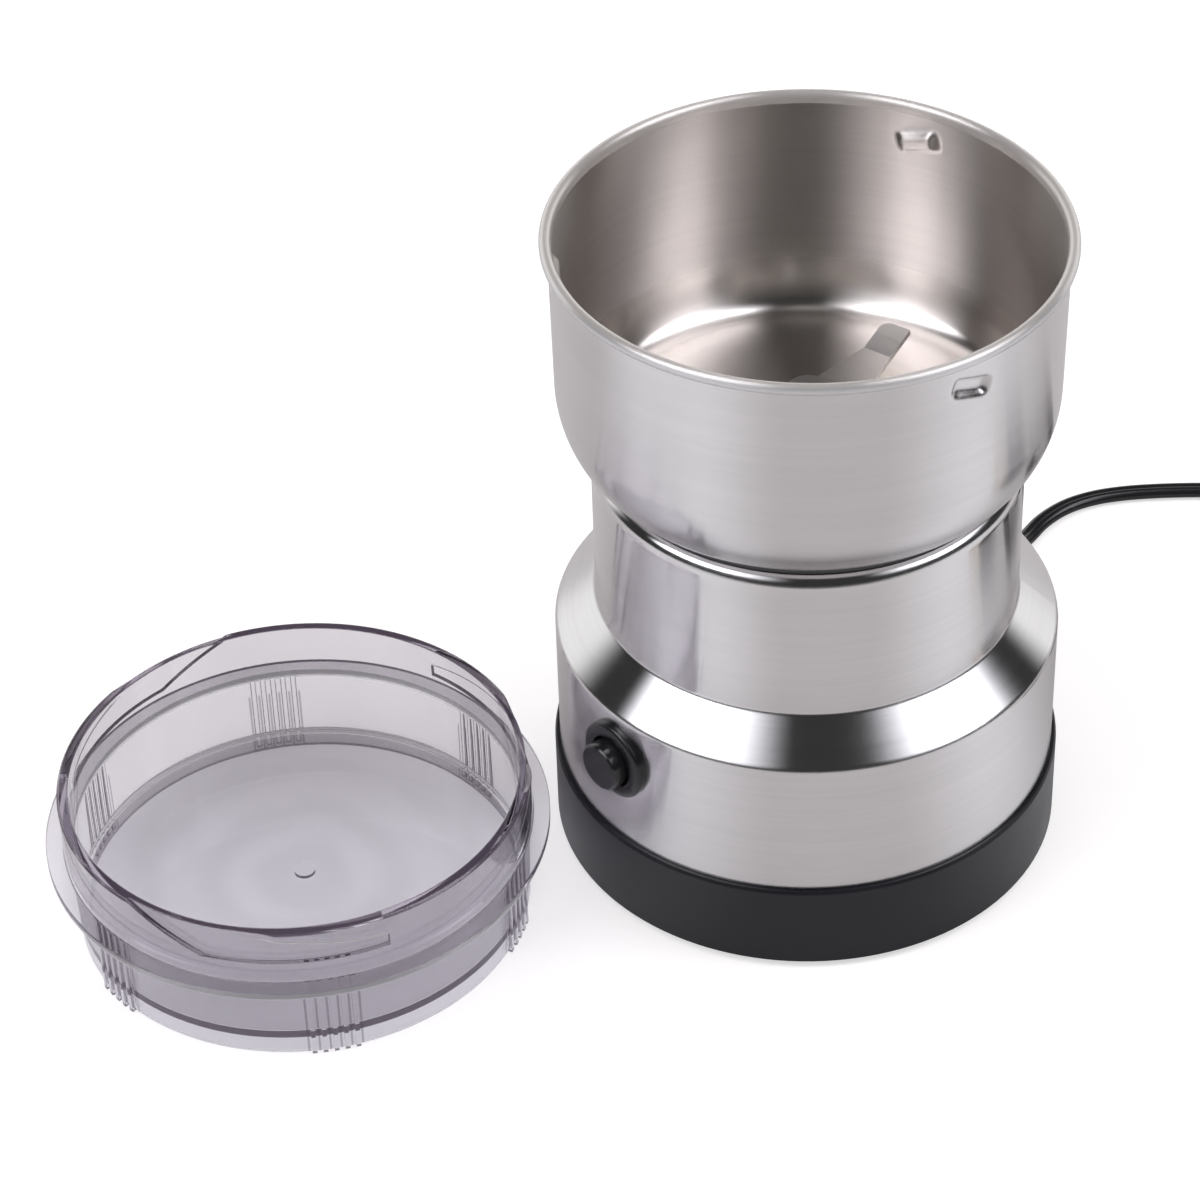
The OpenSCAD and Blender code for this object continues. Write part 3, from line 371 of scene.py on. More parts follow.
def around_axis(graph, turns, along):
    """Coordinates for marks that run around the axis: slow in direction, fast in height and radius."""
    x, y, z = graph.parts(graph.place())
    angle = graph.math("ARCTAN2", y, x)
    return stretched(graph, graph.vector(angle, z, graph.reach(x, y)), (turns, along, along))


def spun_steel(name, colour, roughness, bands, edge, inner_reflection=None):
    """Steel that was turned and brushed around the axis: fine rings and a reflection drawn out across them.

    Each band (low, high, soft, roughness, metallic, inner) changes the shine between two heights, on the
    inner side alone where inner is set. The last argument is a warmer colour painted on the inner side: a painted
    reflection of the steel in itself.
    """
    material, graph, shader = new_material(name, rgb(*colour), roughness, Metallic=1.0, Anisotropic=1.0,
                                           Anisotropic_Rotation=0.25)
    tangent = graph.add("ShaderNodeTangent", direction_type="RADIAL", axis="Z")
    graph.link(tangent.outputs[0], shader.inputs["Tangent"])
    fine = graph.noise(around_axis(graph, *FINE_RINGS), 1.0, 2.0, 0.6)
    broad = graph.noise(around_axis(graph, *BROAD_RINGS), 1.0, 2.0)
    marks = graph.math("MULTIPLY_ADD", broad, 0.5, fine)
    x, y, z = graph.parts(graph.place())
    inside = graph.inside(x, y, graph.reach(x, y))
    base = rgb(*colour)
    # painted reflection: the inner side takes a warmer colour, for the steel reflecting itself
    if inner_reflection:
        base = graph.mix(inside, base, rgb(*inner_reflection))
    cloud = graph.noise(stretched(graph, graph.place(), CLOUD_SCALE), 1.0, 3.0)
    shade = graph.math("MULTIPLY_ADD", cloud, 0.6, marks)
    graph.put(shader.inputs["Base Color"],
              graph.mix(graph.ramp(shade, 0.75, 1.35, CLOUD_SHADE, 1.0), BLACK, base))
    rough = graph.ramp(fine, *NOISE_SPAN, roughness * 0.9, roughness * 1.1, "LINEAR")
    shine = 1.0
    for low, high, soft, band_roughness, band_metallic, inner in bands:
        band = graph.window(z, low, high, soft)
        if inner:
            band = graph.math("MULTIPLY", band, inside)
        rough = graph.blend(band, rough, band_roughness)
        if band_metallic < 1.0:
            shine = graph.blend(band, shine, band_metallic)
    graph.put(shader.inputs["Roughness"], rough)
    graph.put(shader.inputs["Metallic"], shine)
    graph.put(shader.inputs["Normal"], graph.bump(marks, *RING_BUMP, graph.rounded(edge)))
    return material


SCRATCH_SCALE = (3000, 120, 3000)


def ground_steel(name, colour, roughness, direction):
    """Flat ground steel with fine scratches across a direction in the plane, in degrees."""
    material, graph, shader = new_material(name, rgb(*colour), roughness, Metallic=1.0)
    turn = graph.add("ShaderNodeVectorRotate", rotation_type="Z_AXIS")
    graph.put(turn.inputs["Vector"], graph.place())
    turn.inputs["Angle"].default_value = math.radians(-direction)
    scratches = graph.noise(stretched(graph, turn.outputs[0], SCRATCH_SCALE), 1.0, 3.0, 0.7)
    graph.put(shader.inputs["Roughness"],
              graph.ramp(scratches, *NOISE_SPAN, roughness - 0.07, roughness + 0.09, "LINEAR"))
    graph.put(shader.inputs["Normal"], graph.bump(scratches, 0.1, 0.00003))
    return material


def moulded(name, colour, roughness, grain=2400.0, depth=0.00003, edge=0.0003, **constants):
    """Moulded plastic or rubber: fine grain, soft edges, and a colour that varies a little."""
    material, graph, shader = new_material(name, rgb(*colour), roughness, **constants)
    cloud = graph.noise(graph.place(), 60.0, 3.0)
    light = rgb(*(min(1.0, 1.18 * c) for c in colour))
    graph.put(shader.inputs["Base Color"], graph.mix(graph.ramp(cloud, *NOISE_SPAN), rgb(*colour), light))
    speckle = graph.noise(graph.place(), grain, 2.0)
    graph.put(shader.inputs["Normal"], graph.bump(speckle, 0.25, depth, graph.rounded(edge)))
    graph.put(shader.inputs["Roughness"],
              graph.ramp(cloud, *NOISE_SPAN, roughness - 0.04, roughness + 0.05, "LINEAR"))
    return material


def metal(name, colour, roughness, grain=1800.0):
    """Plain metal with a fine, slightly dull grain."""
    material, graph, shader = new_material(name, rgb(*colour), roughness, Metallic=1.0)
    speckle = graph.noise(graph.place(), grain, 3.0)
    dull = rgb(*(0.8 * c for c in colour))
    graph.put(shader.inputs["Base Color"], graph.mix(graph.ramp(speckle, 0.35, 0.7), dull, rgb(*colour)))
    graph.put(shader.inputs["Normal"], graph.bump(speckle, 0.15, 0.00002))
    return material


WIRE_PITCH = 0.0008
SHEET_PITCH = 0.0007


def wound_wire(name, colour):
    """Enamelled wire in close turns, one above the other, with painted shade in the grooves between them."""
    material, graph, shader = new_material(name, rgb(*colour), 0.3, Metallic=0.7)
    turns = graph.waves(graph.parts(graph.place())[2], WIRE_PITCH)
    # painted shade: the colour darkens towards the groove between turns
    dark = rgb(*(0.45 * c for c in colour))
    graph.put(shader.inputs["Base Color"], graph.mix(graph.ramp(turns, -1.0, 0.4), dark, rgb(*colour)))
    graph.put(shader.inputs["Normal"], graph.bump(turns, 0.6, 0.0001))
    return material


def laminated(name, colour):
    """Stacked core sheets: thin dark lines one above the other."""
    material, graph, shader = new_material(name, rgb(*colour), 0.45, Metallic=0.8)
    layers = graph.waves(graph.parts(graph.place())[2], SHEET_PITCH)
    dark = rgb(*(0.5 * c for c in colour))
    graph.put(shader.inputs["Base Color"], graph.mix(graph.ramp(layers, -1.0, -0.3), dark, rgb(*colour)))
    graph.put(shader.inputs["Normal"], graph.bump(layers, 0.5, 0.00008))
    return material


# The lid's grip ribs, as the source has them: groups, ribs in a group, degrees from rib to rib
RIB_GROUPS = 6
RIBS = 5
RIB_PITCH = 2.65
RIB_FROM = 43.5
# The painted shade lines in the gaps beside the ribs: half their width, and the room around a group, both in
# degrees
RIB_LINE = (0.22, 0.36)
RIB_ROOM = 0.4
RIB_SOFT = 0.1
# Heights and a radius at which the lid's tones change, each from its first value to its second
RIB_TOP = (0.0145, 0.0155)
FLANGE_TOP = (0.0205, 0.0215)
CHANNEL_TOP = (0.0300, 0.0310)
LID_WALL = (0.0443, 0.0445)
LEVEL = (0.6, 0.8)  # how far up a face has to look to count as level
LID_COLOUR = rgb(0.65, 0.633, 0.66)
LID_RIB_SHADE = rgb(0.25, 0.235, 0.26)  # painted shade beside the ribs
LID_CHANNEL_SHADE = rgb(0.06, 0.05, 0.065)  # painted shade on the ledges of the bayonet channels
LID_RIM_SHADE = rgb(0.34, 0.30, 0.35)  # painted shade on the rim
LID_TINT = rgb(0.80, 0.787, 0.815)
LID_DENSITY = 100.0
LID_SHADOW = rgb(0.72, 0.71, 0.74)
LID_LOST_RAY_GLOW = rgb(0.20, 0.17, 0.21)  # a painted glow for rays that are lost in the plastic, after so many bounces
LID_DEPTH = 5.5
# Faint rings: radians of their wave in a metre, and how far a ripple moves them, in radians
LID_RINGS = (1300.0, 1.5)
# Painted soft reflections in the tint: broad rings, clouds, and how much lighter they make it
LID_REFLECTION_RINGS = (480.0, 4.0)
LID_RIPPLE = 55.0
LID_CLOUD = 28.0
LID_REFLECTION_LIGHT = 1.08
LID_BUMP = (0.12, 0.0006)  # strength and height
LID_ROUND = 0.0004
LID_HAZE = 300.0
LID_ROUGHNESS = (0.015, 0.05)


def painted_rib_shade(graph, x, y, z, radius):
    """1 in the narrow gaps beside the lid's grip ribs, where shade is painted."""
    angle = graph.math("SUBTRACT", graph.math("DEGREES", graph.math("ARCTAN2", y, x)), RIB_FROM)
    step = 360.0 / RIB_GROUPS
    angle = graph.math("WRAP", angle, step / 2, -step / 2)
    half = RIBS / 2 * RIB_PITCH + RIB_ROOM
    group = graph.window(angle, -half, half, RIB_SOFT)
    gap = graph.math("ABSOLUTE", graph.math("WRAP", angle, RIB_PITCH, 0.0))
    gap = graph.math("ABSOLUTE", graph.math("SUBTRACT", gap, RIB_PITCH / 2))
    line = graph.math("MULTIPLY", group, graph.ramp(gap, *RIB_LINE, 1.0, 0.0))
    line = graph.math("MULTIPLY", line, graph.ramp(radius, *LID_WALL))
    return graph.math("MULTIPLY", line, graph.ramp(z, *RIB_TOP, 1.0, 0.0))


def rippled_rings(graph, radius, ripple, rate, wander):
    """A sine wave along the radius, moved by a noise."""
    return graph.math("SINE", graph.math("MULTIPLY_ADD", ripple, wander, graph.math("MULTIPLY", radius, rate)))


def lid_colour(graph, x, y, z, radius, ripple):
    """The tint with painted soft reflections in faint broad rings and clouds, and painted shade on the channels'
    ledges, the rim and beside the ribs.
    """
    # painted soft reflections: lighter broad rings and clouds
    rings = rippled_rings(graph, radius, ripple, *LID_REFLECTION_RINGS)
    cloud = graph.math("MULTIPLY_ADD", rings, 0.16, graph.noise(graph.place(), LID_CLOUD, 1.0))
    light = rgb(*(LID_REFLECTION_LIGHT * c for c in LID_COLOUR[:3]))
    tint = graph.mix(graph.ramp(cloud, 0.25, 0.75), LID_COLOUR, light)
    up = graph.parts(graph.add("ShaderNodeNewGeometry").outputs["True Normal"])[2]
    # painted shade on level faces above the flange: dark ledges in the channels, a darker rim above them
    edge = graph.math("MULTIPLY", graph.ramp(up, *LEVEL), graph.ramp(z, *FLANGE_TOP))
    tint = graph.mix(edge, tint, graph.mix(graph.ramp(z, *CHANNEL_TOP), LID_CHANNEL_SHADE, LID_RIM_SHADE))
    # painted shade in the gaps beside the ribs
    return graph.mix(painted_rib_shade(graph, x, y, z, radius), tint, LID_RIB_SHADE)


def clear_lid():
    """Clear plastic with a smoky violet tint that deepens with thickness."""
    material, graph, shader = new_material("lid_clear", LID_COLOUR, 0.03, Transmission_Weight=1.0, IOR=1.5)
    x, y, z = graph.parts(graph.place())
    radius = graph.reach(x, y, LID_PLACE)
    x = graph.math("SUBTRACT", x, LID_PLACE[0])
    y = graph.math("SUBTRACT", y, LID_PLACE[1])
    ripple = graph.noise(graph.place(), LID_RIPPLE, 2.0)
    swell = graph.math("MULTIPLY_ADD", rippled_rings(graph, radius, ripple, *LID_RINGS), 0.02, ripple)
    graph.put(shader.inputs["Normal"], graph.bump(swell, *LID_BUMP, graph.rounded(LID_ROUND)))
    graph.put(shader.inputs["Base Color"], lid_colour(graph, x, y, z, radius, ripple))
    haze = graph.noise(graph.place(), LID_HAZE, 3.0)
    graph.put(shader.inputs["Roughness"], graph.ramp(haze, *NOISE_SPAN, *LID_ROUGHNESS, "LINEAR"))
    absorb = graph.add("ShaderNodeVolumeAbsorption")
    absorb.inputs["Color"].default_value = LID_TINT
    absorb.inputs["Density"].default_value = LID_DENSITY
    path = graph.add("ShaderNodeLightPath")
    # Rays lost after so many bounces glow in a painted colour instead of going black.
    lost = graph.add("ShaderNodeEmission")
    lost.inputs["Color"].default_value = LID_LOST_RAY_GLOW
    through = graph.add("ShaderNodeBsdfTransparent")
    through.inputs["Color"].default_value = LID_SHADOW
    deep = graph.math("GREATER_THAN", path.outputs["Ray Depth"], LID_DEPTH)
    surface = graph.mix_shaders(deep, shader.outputs[0], lost.outputs[0])
    surface = graph.mix_shaders(path.outputs["Is Shadow Ray"], surface, through.outputs[0])
    out = next(n for n in graph.tree.nodes if n.type == "OUTPUT_MATERIAL")
    graph.link(surface, out.inputs["Surface"])
    graph.link(absorb.outputs[0], out.inputs["Volume"])
    return material


# ---------- skins ----------


def loft(name, rings, closed, material, sharp=38):
    """A piece on the body with a skin over rings of points.

    The ends are capped unless the rings close on themselves. Edges that bend more than sharp, in degrees,
    are shaded sharp.
    """
    n = len(rings[0])
    verts = [tuple(v) for ring in rings for v in ring]
    faces = []
    last = len(rings) if closed else len(rings) - 1
    for i in range(last):
        j = (i + 1) % len(rings)
        for k in range(n):
            m = (k + 1) % n
            faces.append((i * n + k, i * n + m, j * n + m, j * n + k))
    if not closed:
        faces.append(tuple(range(n))[::-1])
        faces.append(tuple(range((len(rings) - 1) * n, len(rings) * n)))
    mesh = bpy.data.meshes.new(name)
    mesh.from_pydata(verts, [], faces)
    mesh.update()
    for polygon in mesh.polygons:
        polygon.use_smooth = len(polygon.vertices) == 4
    mesh.set_sharp_from_angle(angle=math.radians(sharp))
    mesh.materials.append(material)
    piece = bpy.data.objects.new(name, mesh)
    scene.collection.objects.link(piece)
    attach(piece, "body")
    return piece


def superellipse(wide, high, square, n=48):
    """Points of a rounded outline: square is 2 for an ellipse, and more for squarer corners."""
    points = []
    for i in range(n):
        c, s = math.cos(math.tau * i / n), math.sin(math.tau * i / n)
        points.append((wide * math.copysign(abs(c) ** (2 / square), c),
                       high * math.copysign(abs(s) ** (2 / square), s)))
    return points


def smoothstep(t):
    """0 below 0, 1 above 1, and a soft rise between them."""
    t = min(1.0, max(0.0, t))
    return t * t * (3 - 2 * t)


# ---------- cord ----------

CORD_WIDTH = 0.004
CORD_THICK = 0.0029
GROOVE_DEPTH = 0.24  # of the half thickness
GROOVE_WIDTH = 0.22
CORD_EXIT = (0.03545, 0.0614, 0.0102)
TABLE_Z = CORD_THICK / 2
LEAD = [CORD_EXIT, (0.0387, 0.0671, 0.0089), (0.0421, 0.073, 0.0059), (0.0455, 0.0788, 0.0028),
        (0.049, 0.0846, TABLE_Z), (0.053, 0.0908, TABLE_Z), (0.0583, 0.096, TABLE_Z),
        (0.0646, 0.0994, TABLE_Z), (0.0715, 0.1013, TABLE_Z), (0.079, 0.1023, TABLE_Z),
        (0.087, 0.1028, TABLE_Z), (0.095, 0.1029, TABLE_Z), (0.103, 0.1028, TABLE_Z),
        (0.112, 0.1024, TABLE_Z)]
COIL_CENTRE = Vector((0.122, 0.076, 0.0))
COIL_RADIUS = 0.026
COIL_PITCH = CORD_WIDTH + 0.0001
COIL_RINGS = 3
# In turns: the start on the outermost ring, the stay on the innermost one, and the climb onto the lower layer
COIL_START = 0.5
COIL_STAY = 0.25
COIL_CLIMB_EARLY = 0.1
COIL_CLIMB = 0.35
COIL_TURNS = 2 * COIL_RINGS - 0.75
STEPS_PER_TURN = 24
TAIL = [(0.148, 0.069, 0.0045), (0.148, 0.062, 0.0051), (0.148, 0.055, 0.0063), (0.148, 0.048, 0.0068)]


def coil_points():
    """The coil's turns, clockwise from above: inward on the table, then outward on top of them."""
    points = []
    lower = COIL_RINGS - COIL_START
    for i in range(int(COIL_TURNS * STEPS_PER_TURN) + 1):
        t = i / STEPS_PER_TURN
        inward = min(t, lower)
        outward = max(0.0, t - lower - COIL_STAY)
        ring = max(0.0, inward - COIL_START) / (lower - COIL_START) * (COIL_RINGS - 1)
        ring -= min(1.0, outward / (COIL_TURNS - lower - 2 * COIL_STAY)) * (COIL_RINGS - 1)
        lift = smoothstep((t - lower + COIL_CLIMB_EARLY) / COIL_CLIMB)
        radius = COIL_RADIUS - COIL_PITCH * max(0.0, ring)
        angle = math.pi / 2 - math.tau * t
        place = COIL_CENTRE + Vector((radius * math.cos(angle), radius * math.sin(angle), 0))
        place.z = TABLE_Z + lift * CORD_THICK
        points.append(tuple(place))
    return points


def smooth_path(points, step=0.0015):
    """Points of a Catmull-Rom curve through the given ones, about a step apart."""
    p = [Vector(q) for q in points]
    p = [2 * p[0] - p[1]] + p + [2 * p[-1] - p[-2]]
    path = []
    for a, b, c, d in zip(p, p[1:], p[2:], p[3:]):
        n = max(1, round((c - b).length / step))
        for i in range(n):
            t = i / n
            path.append(0.5 * (2 * b + (c - a) * t + (2 * a - 5 * b + 4 * c - d) * t ** 2
                               + (3 * b - a - 3 * c + d) * t ** 3))
    path.append(p[-2])
    return path


def flex_section(n=28):
    """Outline of a flat twin flex: two round lobes with a groove between them."""
    section = []
    for i in range(n):
        a = math.tau * i / n
        groove = 1 - GROOVE_DEPTH * math.exp(-(math.cos(a) / GROOVE_WIDTH) ** 2)
        section.append((CORD_WIDTH / 2 * math.cos(a), CORD_THICK / 2 * math.sin(a) * groove))
    return section


def tube_rings(path, section):
    """The section's points at each point of a path, with the section's width kept level."""
    rings = []
    for i, place in enumerate(path):
        ahead = (path[min(i + 1, len(path) - 1)] - path[max(i - 1, 0)]).normalized()
        side = Vector((0, 0, 1)).cross(ahead).normalized()
        top = ahead.cross(side)
        rings.append([place + side * x + top * y for x, y in section])
    return rings


PLUG_END = TAIL[-1]
# The sleeve's grooves: how many, their pitch, and the distance along and the cut of each groove's points
SLEEVE_GROOVES = 5
SLEEVE_PITCH = 0.0026
SLEEVE_GROOVE = ((0.0, 0.0), (0.0013, 0.0), (0.0015, 0.0007), (0.0023, 0.0007))
SLEEVE_RADIUS = 0.003
SLEEVE_TAPER = 0.12
# Sections of the plug from the cord to its face: distance along it, half width, half height, squareness
SLEEVE_END = [(0.0132, 0.0046, 0.0046, 2.0), (0.014, 0.0048, 0.0047, 2.0)]
PLUG_BODY = [(0.0144, 0.0060, 0.0050, 2.4), (0.0152, 0.0074, 0.0052, 2.8), (0.0185, 0.0106, 0.0057, 3.2),
             (0.0225, 0.0137, 0.0062, 3.8), (0.0265, 0.0160, 0.0066, 4.4), (0.030, 0.0172, 0.0068, 5.0),
             (0.0478, 0.0175, 0.0068, 5.5), (0.0488, 0.01745, 0.00675, 5.5), (0.0496, 0.0172, 0.0065, 5.5),
             (0.050, 0.0167, 0.0060, 5.5)]
GRIPS = (0.0325, 0.0355, 0.0385, 0.0415)
GRIP_CUT = ((-0.0009, 0.0), (-0.0005, 0.0006), (0.0005, 0.0006), (0.0009, 0.0))
GRIP_SECTION = (0.0174, 0.0068, 5.2)


def plug_sections():
    """The sleeve with its grooves, then the body with grips cut across it."""
    sections = []
    for i in range(SLEEVE_GROOVES):
        for ahead, cut in SLEEVE_GROOVE:
            along = SLEEVE_PITCH * i + ahead
            r = SLEEVE_RADIUS + SLEEVE_TAPER * along - cut
            sections.append((along, r, r, 2.0))
    sections += SLEEVE_END
    grip_wide, grip_high, grip_square = GRIP_SECTION
    for along, wide, high, square in PLUG_BODY:
        sections += [(g + x, grip_wide - d, grip_high - 0.6 * d, grip_square) for g in GRIPS
                     for x, d in GRIP_CUT if sections[-1][0] < g < along]
        sections.append((along, wide, high, square))
    return sections


def add_plug(material):
    """The plug's shell, from the end of the cord along -y."""
    x, y, z = PLUG_END
    rings = [[(x + u, y - along, z + v) for u, v in superellipse(wide, high, square)]
             for along, wide, high, square in plug_sections()]
    plug = loft("plug_shell", rings, False, material)
    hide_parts("plug_body")
    return plug


TIE_AT = 225  # degrees around the coil
TIE_WIDTH = 0.005
TIE_THICK = 0.0007
TIE_SQUARE = 4.0  # as in superellipse


def add_tie(material):
    """A strap around all turns of the coil."""
    inner = COIL_RADIUS - (COIL_RINGS - 1) * COIL_PITCH - CORD_WIDTH / 2 - TIE_THICK
    outer = COIL_RADIUS + CORD_WIDTH / 2 + TIE_THICK
    wide = (outer - inner) / 2
    high = CORD_THICK + TIE_THICK / 2
    a = math.radians(TIE_AT)
    out = Vector((math.cos(a), math.sin(a), 0))
    along = Vector((-math.sin(a), math.cos(a), 0))
    middle = COIL_CENTRE + out * (inner + outer) / 2 + Vector((0, 0, high))
    rings = []
    skins = [superellipse(wide - d, high - d, TIE_SQUARE, 64) for d in (0.0, TIE_THICK)]
    for (u0, v0), (u1, v1) in zip(*skins):
        rings.append([middle + out * u + Vector((0, 0, v)) + along * w
                      for u, v, w in ((u0, v0, -TIE_WIDTH / 2), (u0, v0, TIE_WIDTH / 2),
                                      (u1, v1, TIE_WIDTH / 2), (u1, v1, -TIE_WIDTH / 2))])
    return loft("cord_tie", rings, True, material)


def add_cord(material, strap):
    """The cord with its plug and its tie."""
    path = smooth_path(LEAD + coil_points() + TAIL)
    flex = loft("mains_flex", tube_rings(path, flex_section()), False, material, sharp=180)
    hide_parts("cord_lead", "cord_coil", "cord_tail")
    add_plug(material)
    add_tie(strap)


# ---------- bowl ----------

# Lengths in this section are in millimetres. The outline is the outer side's, with a radius for each bend.
BOWL_OUTLINE = [(8.1, 91.9), (42.2, 91.9), (48.1, 100.5), (48.5, 138.4)]
BOWL_BENDS = (6.0, 22.576)
BOWL_SHEET = 0.8
BEAD_HOLLOW = 0.34
BEAD_CURL = 280  # degrees
LUGS_AT = (64, 186, 307)  # degrees
LUG_HEIGHT = 131.9
LUG_TILT = 16  # degrees
LUG_DEPTH = 1.4
LUG_HALF = ((4.7, 3.0), (2.45, 0.85))  # where its slopes start and end, along it and up it
LUG_REACH = (8, 5)  # how far from its middle a lug can press the wall, along and up
LUG_ROWS = (4.3, 0.45)  # how far above and below a lug the rows are close, and how close
BEND_STEPS = (12, 16)  # in each bend
CURL_STEPS = (14, 28)  # in the bead's inner and outer side
ANGLE_STEPS = (0.55, 2.5)  # degrees from ring to ring, near a lug and elsewhere
NEAR_LUG = 8  # degrees from its middle


def unit(a, b):
    """The direction from a to b."""
    length = math.hypot(b[0] - a[0], b[1] - a[1])
    return (b[0] - a[0]) / length, (b[1] - a[1]) / length


def bent_path(points, bends, offset, steps):
    """A path with round bends to its left, moved to its left by an offset."""
    path = []
    first = unit(points[0], points[1])
    path.append((points[0][0] - first[1] * offset, points[0][1] + first[0] * offset))
    for a, b, c, radius, count in zip(points, points[1:], points[2:], bends, steps):
        u, v = unit(a, b), unit(b, c)
        turn = math.atan2(u[0] * v[1] - u[1] * v[0], u[0] * v[0] + u[1] * v[1])
        back = radius * math.tan(turn / 2)
        centre = (b[0] - u[0] * back - u[1] * radius, b[1] - u[1] * back + u[0] * radius)
        start = math.atan2(u[1], u[0]) - math.pi / 2
        for i in range(count + 1):
            angle = start + turn * i / count
            path.append((centre[0] + (radius - offset) * math.cos(angle),
                         centre[1] + (radius - offset) * math.sin(angle)))
    last = unit(points[-2], points[-1])
    path.append((points[-1][0] - last[1] * offset, points[-1][1] + last[0] * offset))
    return path


def dense(path, low, high, step):
    """The same path with more points between two heights."""
    out = [path[0]]
    for a, b in zip(path, path[1:]):
        if a[1] < high and b[1] > low and b[1] - a[1] > step:
            rows = [low + i * step for i in range(int((high - low) / step) + 1)]
            cuts = [z for z in rows if a[1] < z < b[1]]
            out += [(a[0] + (b[0] - a[0]) * (z - a[1]) / (b[1] - a[1]), z) for z in cuts]
        out.append(b)
    return out


def bowl_profile():
    """The sheet's cross-section: up its outer side, around the bead, and down its inner side."""
    room, step = LUG_ROWS
    outer, inner = [dense(bent_path(BOWL_OUTLINE, BOWL_BENDS, offset, BEND_STEPS),
                          LUG_HEIGHT - room, LUG_HEIGHT + room, step) for offset in (0.0, BOWL_SHEET)]
    end = BOWL_OUTLINE[-1]
    u = unit(BOWL_OUTLINE[-2], end)
    centre = (end[0] + u[1] * BEAD_HOLLOW, end[1] - u[0] * BEAD_HOLLOW)
    start = math.atan2(u[1], u[0]) + math.pi / 2
    curls = []
    for radius, count in zip((BEAD_HOLLOW, BEAD_HOLLOW + BOWL_SHEET), CURL_STEPS):
        curls.append([(centre[0] + radius * math.cos(start - math.radians(BEAD_CURL) * i / count),
                       centre[1] + radius * math.sin(start - math.radians(BEAD_CURL) * i / count))
                      for i in range(1, count + 1)])
    return outer + curls[0] + curls[1][::-1] + inner[::-1]


def lug_push(angle, r, z):
    """How far the wall is pressed in at a place, in millimetres."""
    push = 0.0
    tilt = math.radians(LUG_TILT)
    for at in LUGS_AT:
        across = math.radians((angle - at + 180) % 360 - 180) * r
        if abs(across) > LUG_REACH[0] or abs(z - LUG_HEIGHT) > LUG_REACH[1]:
            continue
        u = across * math.cos(tilt) - (z - LUG_HEIGHT) * math.sin(tilt)
        v = across * math.sin(tilt) + (z - LUG_HEIGHT) * math.cos(tilt)
        shape = 1.0
        for place, (outer, inner) in zip((u, v), LUG_HALF):
            shape *= smoothstep((outer - abs(place)) / (outer - inner))
        push = max(push, LUG_DEPTH * shape)
    return push


def add_bowl(material):
    """The bowl as the source has it, with the lugs' edges rounded as a pressing has them."""
    angles = []
    angle = 0.0
    while angle < 360:
        angles.append(angle)
        near = min(abs((angle - at + 180) % 360 - 180) for at in LUGS_AT)
        angle += ANGLE_STEPS[0] if near < NEAR_LUG else ANGLE_STEPS[1]
    profile = bowl_profile()
    rings = []
    for angle in angles:
        c, s = math.cos(math.radians(angle)), math.sin(math.radians(angle))
        ring = []
        for r, z in reversed(profile):
            r -= lug_push(angle, r, z)
            ring.append((r * c / 1000, r * s / 1000, z / 1000))
        rings.append(ring)
    bowl = loft("bowl_skin", rings, True, material, 50)
    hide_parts("bowl")


# ---------- button spring ----------

BUTTON_AZ = -137  # degrees
BUTTON_UP = 0.0396
SPRING_SEAT = 0.044  # from the object's axis
SPRING_LONG = 0.00899
SPRING_RADIUS = 0.003
SPRING_WIRE = 0.0005
SPRING_TURNS = 6
SPRING_STEPS = 24  # in a turn
WIRE_SIDES = 10


def add_button_spring(material):
    """The return spring behind the button."""
    out = (math.cos(math.radians(BUTTON_AZ)), math.sin(math.radians(BUTTON_AZ)), 0.0)
    side = (-out[1], out[0], 0.0)
    steps = SPRING_TURNS * SPRING_STEPS
    rings = []
    for i in range(steps + 1):
        turn = math.tau * i / SPRING_STEPS
        along = SPRING_WIRE / 2 + (SPRING_LONG - SPRING_WIRE) * i / steps
        ring = []
        for k in range(WIRE_SIDES):
            angle = -math.tau * k / WIRE_SIDES
            r = SPRING_RADIUS + SPRING_WIRE / 2 * math.cos(angle)
            reach = SPRING_SEAT + along + SPRING_WIRE / 2 * math.sin(angle)
            ring.append(tuple(reach * o + r * math.cos(turn) * s for o, s in zip(out, side))[:2]
                        + (BUTTON_UP + r * math.sin(turn),))
        rings.append(ring)
    spring = loft("return_spring", rings, False, material, 60)
    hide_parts("button_spring")
    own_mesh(spring)


# ---------- build ----------

add_camera()
cord_black = moulded("cord_black", (0.012, 0.012, 0.013), 0.22, 900.0, 0.00002)
add_cord(cord_black, moulded("strap_black", (0.02, 0.02, 0.022), 0.5))
add_world()
add_floor()

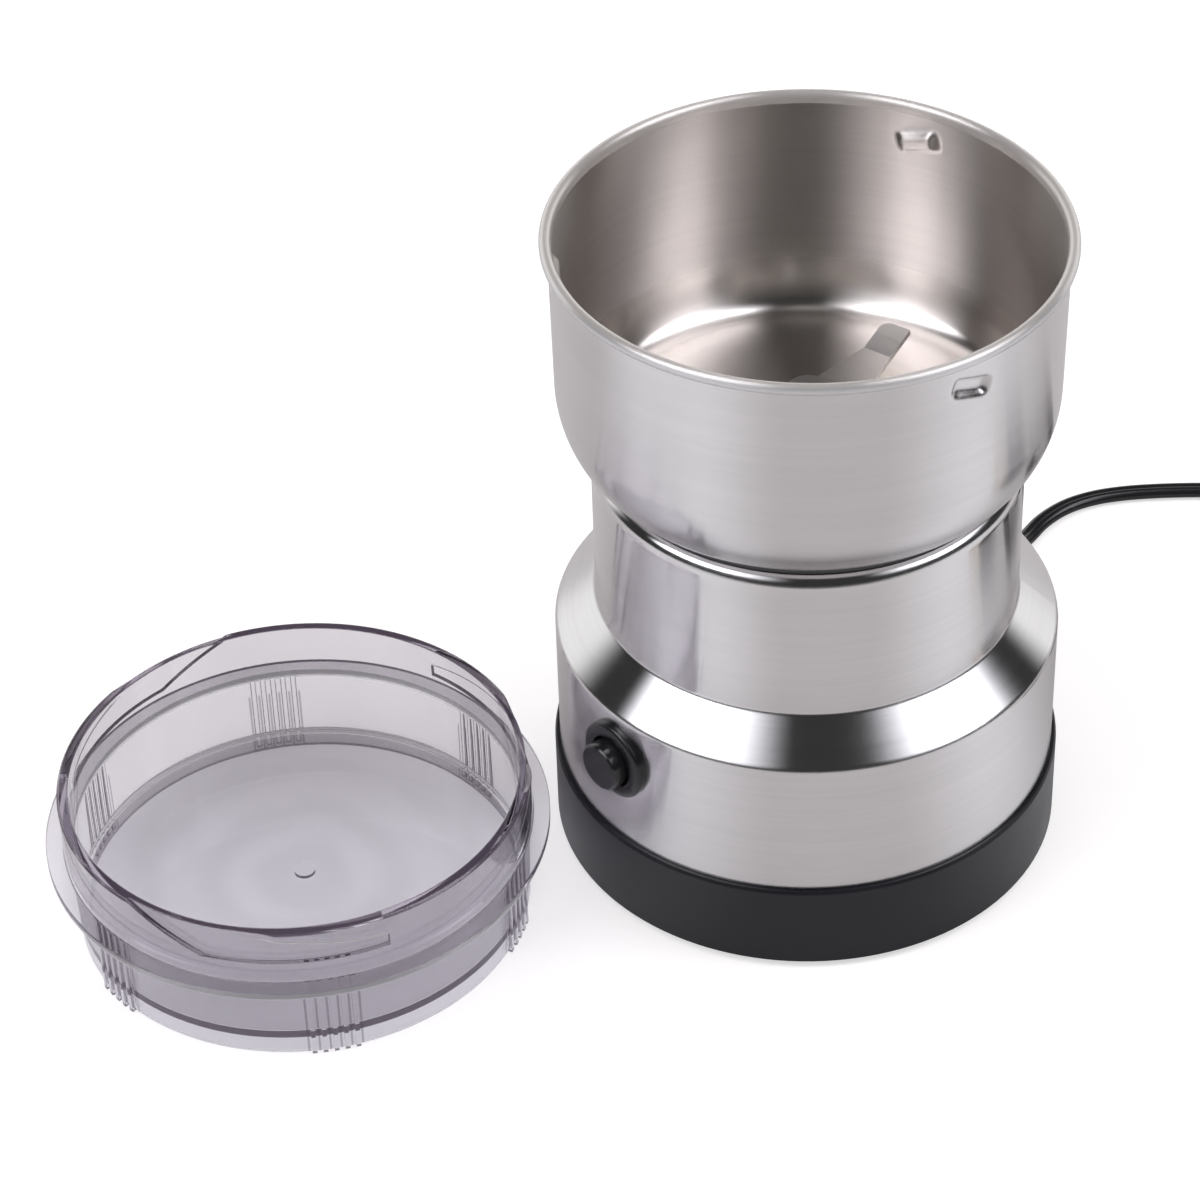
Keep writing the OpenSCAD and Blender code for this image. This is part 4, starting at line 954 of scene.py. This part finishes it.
BLADE_AZ = 57.5  # degrees
STEEL = (0.74, 0.73, 0.73)
# A warmer colour painted on the bowl's inner side: a painted reflection of the steel in itself
INNER_REFLECTION_STEEL = (0.765, 0.722, 0.69)
BOWL_FLOOR = 0.0927
BEAD = 0.1384
LIP = 0.0902
BOWL_BANDS = [
    (BOWL_FLOOR - 0.002, BEAD + 0.002, 0.0001, 0.34, 1.0, True),  # the whole inner side
    (BOWL_FLOOR - 0.002, BOWL_FLOOR + 0.009, 0.004, 0.17, 1.0, True),  # the cove above the floor
    (BEAD - 0.0012, BEAD + 0.002, 0.0002, 0.26, 0.55, False),  # the bead
]
BODY_BANDS = [(LIP - 0.004, LIP + 0.001, 0.001, 0.10, 1.0, False)]  # the rolled lip
bowl_steel = spun_steel("bowl_steel", STEEL, 0.17, BOWL_BANDS, 0.0012, INNER_REFLECTION_STEEL)
body_steel = spun_steel("body_steel", STEEL, 0.15, BODY_BANDS, 0.0006)
blade_steel = ground_steel("blade_steel", (0.80, 0.77, 0.74), 0.36, BLADE_AZ)
fastener_steel = metal("fastener_steel", (0.6, 0.6, 0.62), 0.3)
black_base = moulded("black_base", (0.008, 0.008, 0.011), 0.34, Specular_IOR_Level=0.4)
black_bezel = moulded("black_bezel", (0.010, 0.010, 0.012), 0.26)
black_button = moulded("black_button", (0.012, 0.012, 0.013), 0.14)
grey_rubber = moulded("grey_rubber", (0.06, 0.06, 0.062), 0.7)
dark_frame = moulded("dark_frame", (0.05, 0.05, 0.055), 0.5)
core_iron = laminated("core_iron", (0.42, 0.43, 0.45))
copper_wire = wound_wire("copper_wire", (0.68, 0.27, 0.1))
brass_part = metal("brass_part", (0.72, 0.5, 0.22), 0.28)
carbon = moulded("carbon", (0.03, 0.03, 0.032), 0.6)
white_fan = moulded("white_fan", (0.75, 0.73, 0.68), 0.45)
lid_clear = clear_lid()

FINISH = {
    "steel_housing": body_steel, "blade": blade_steel, "blade_nut": blade_steel,
    "bowl_ring_nut": fastener_steel, "base_screws": fastener_steel, "clamp_screws": fastener_steel,
    "motor_screws": fastener_steel, "motor_shaft": fastener_steel, "brush_springs": fastener_steel,
    "base_ring": black_base, "bottom_cover": black_base,
    "switch_body": black_base, "switch_bezel": black_bezel, "switch_nut": black_bezel,
    "push_button": black_button, "rubber_feet": grey_rubber, "shaft_seal": grey_rubber,
    "motor_mount": dark_frame, "lower_bracket": dark_frame, "cord_clamp": dark_frame,
    "stator_core": core_iron, "armature_core": core_iron, "field_coils": copper_wire,
    "armature_windings": copper_wire, "commutator": copper_wire, "upper_bearing": brass_part,
    "lower_bearing": brass_part, "brush_holders": brass_part, "switch_terminals": brass_part,
    "plug_pins": brass_part, "blade_collar": brass_part, "carbon_brushes": carbon,
    "cooling_fan": white_fan, "strain_relief": cord_black, "lid": lid_clear,
}
add_bowl(bowl_steel)
add_button_spring(fastener_steel)
for node, finish in FINISH.items():
    dress(node, finish)
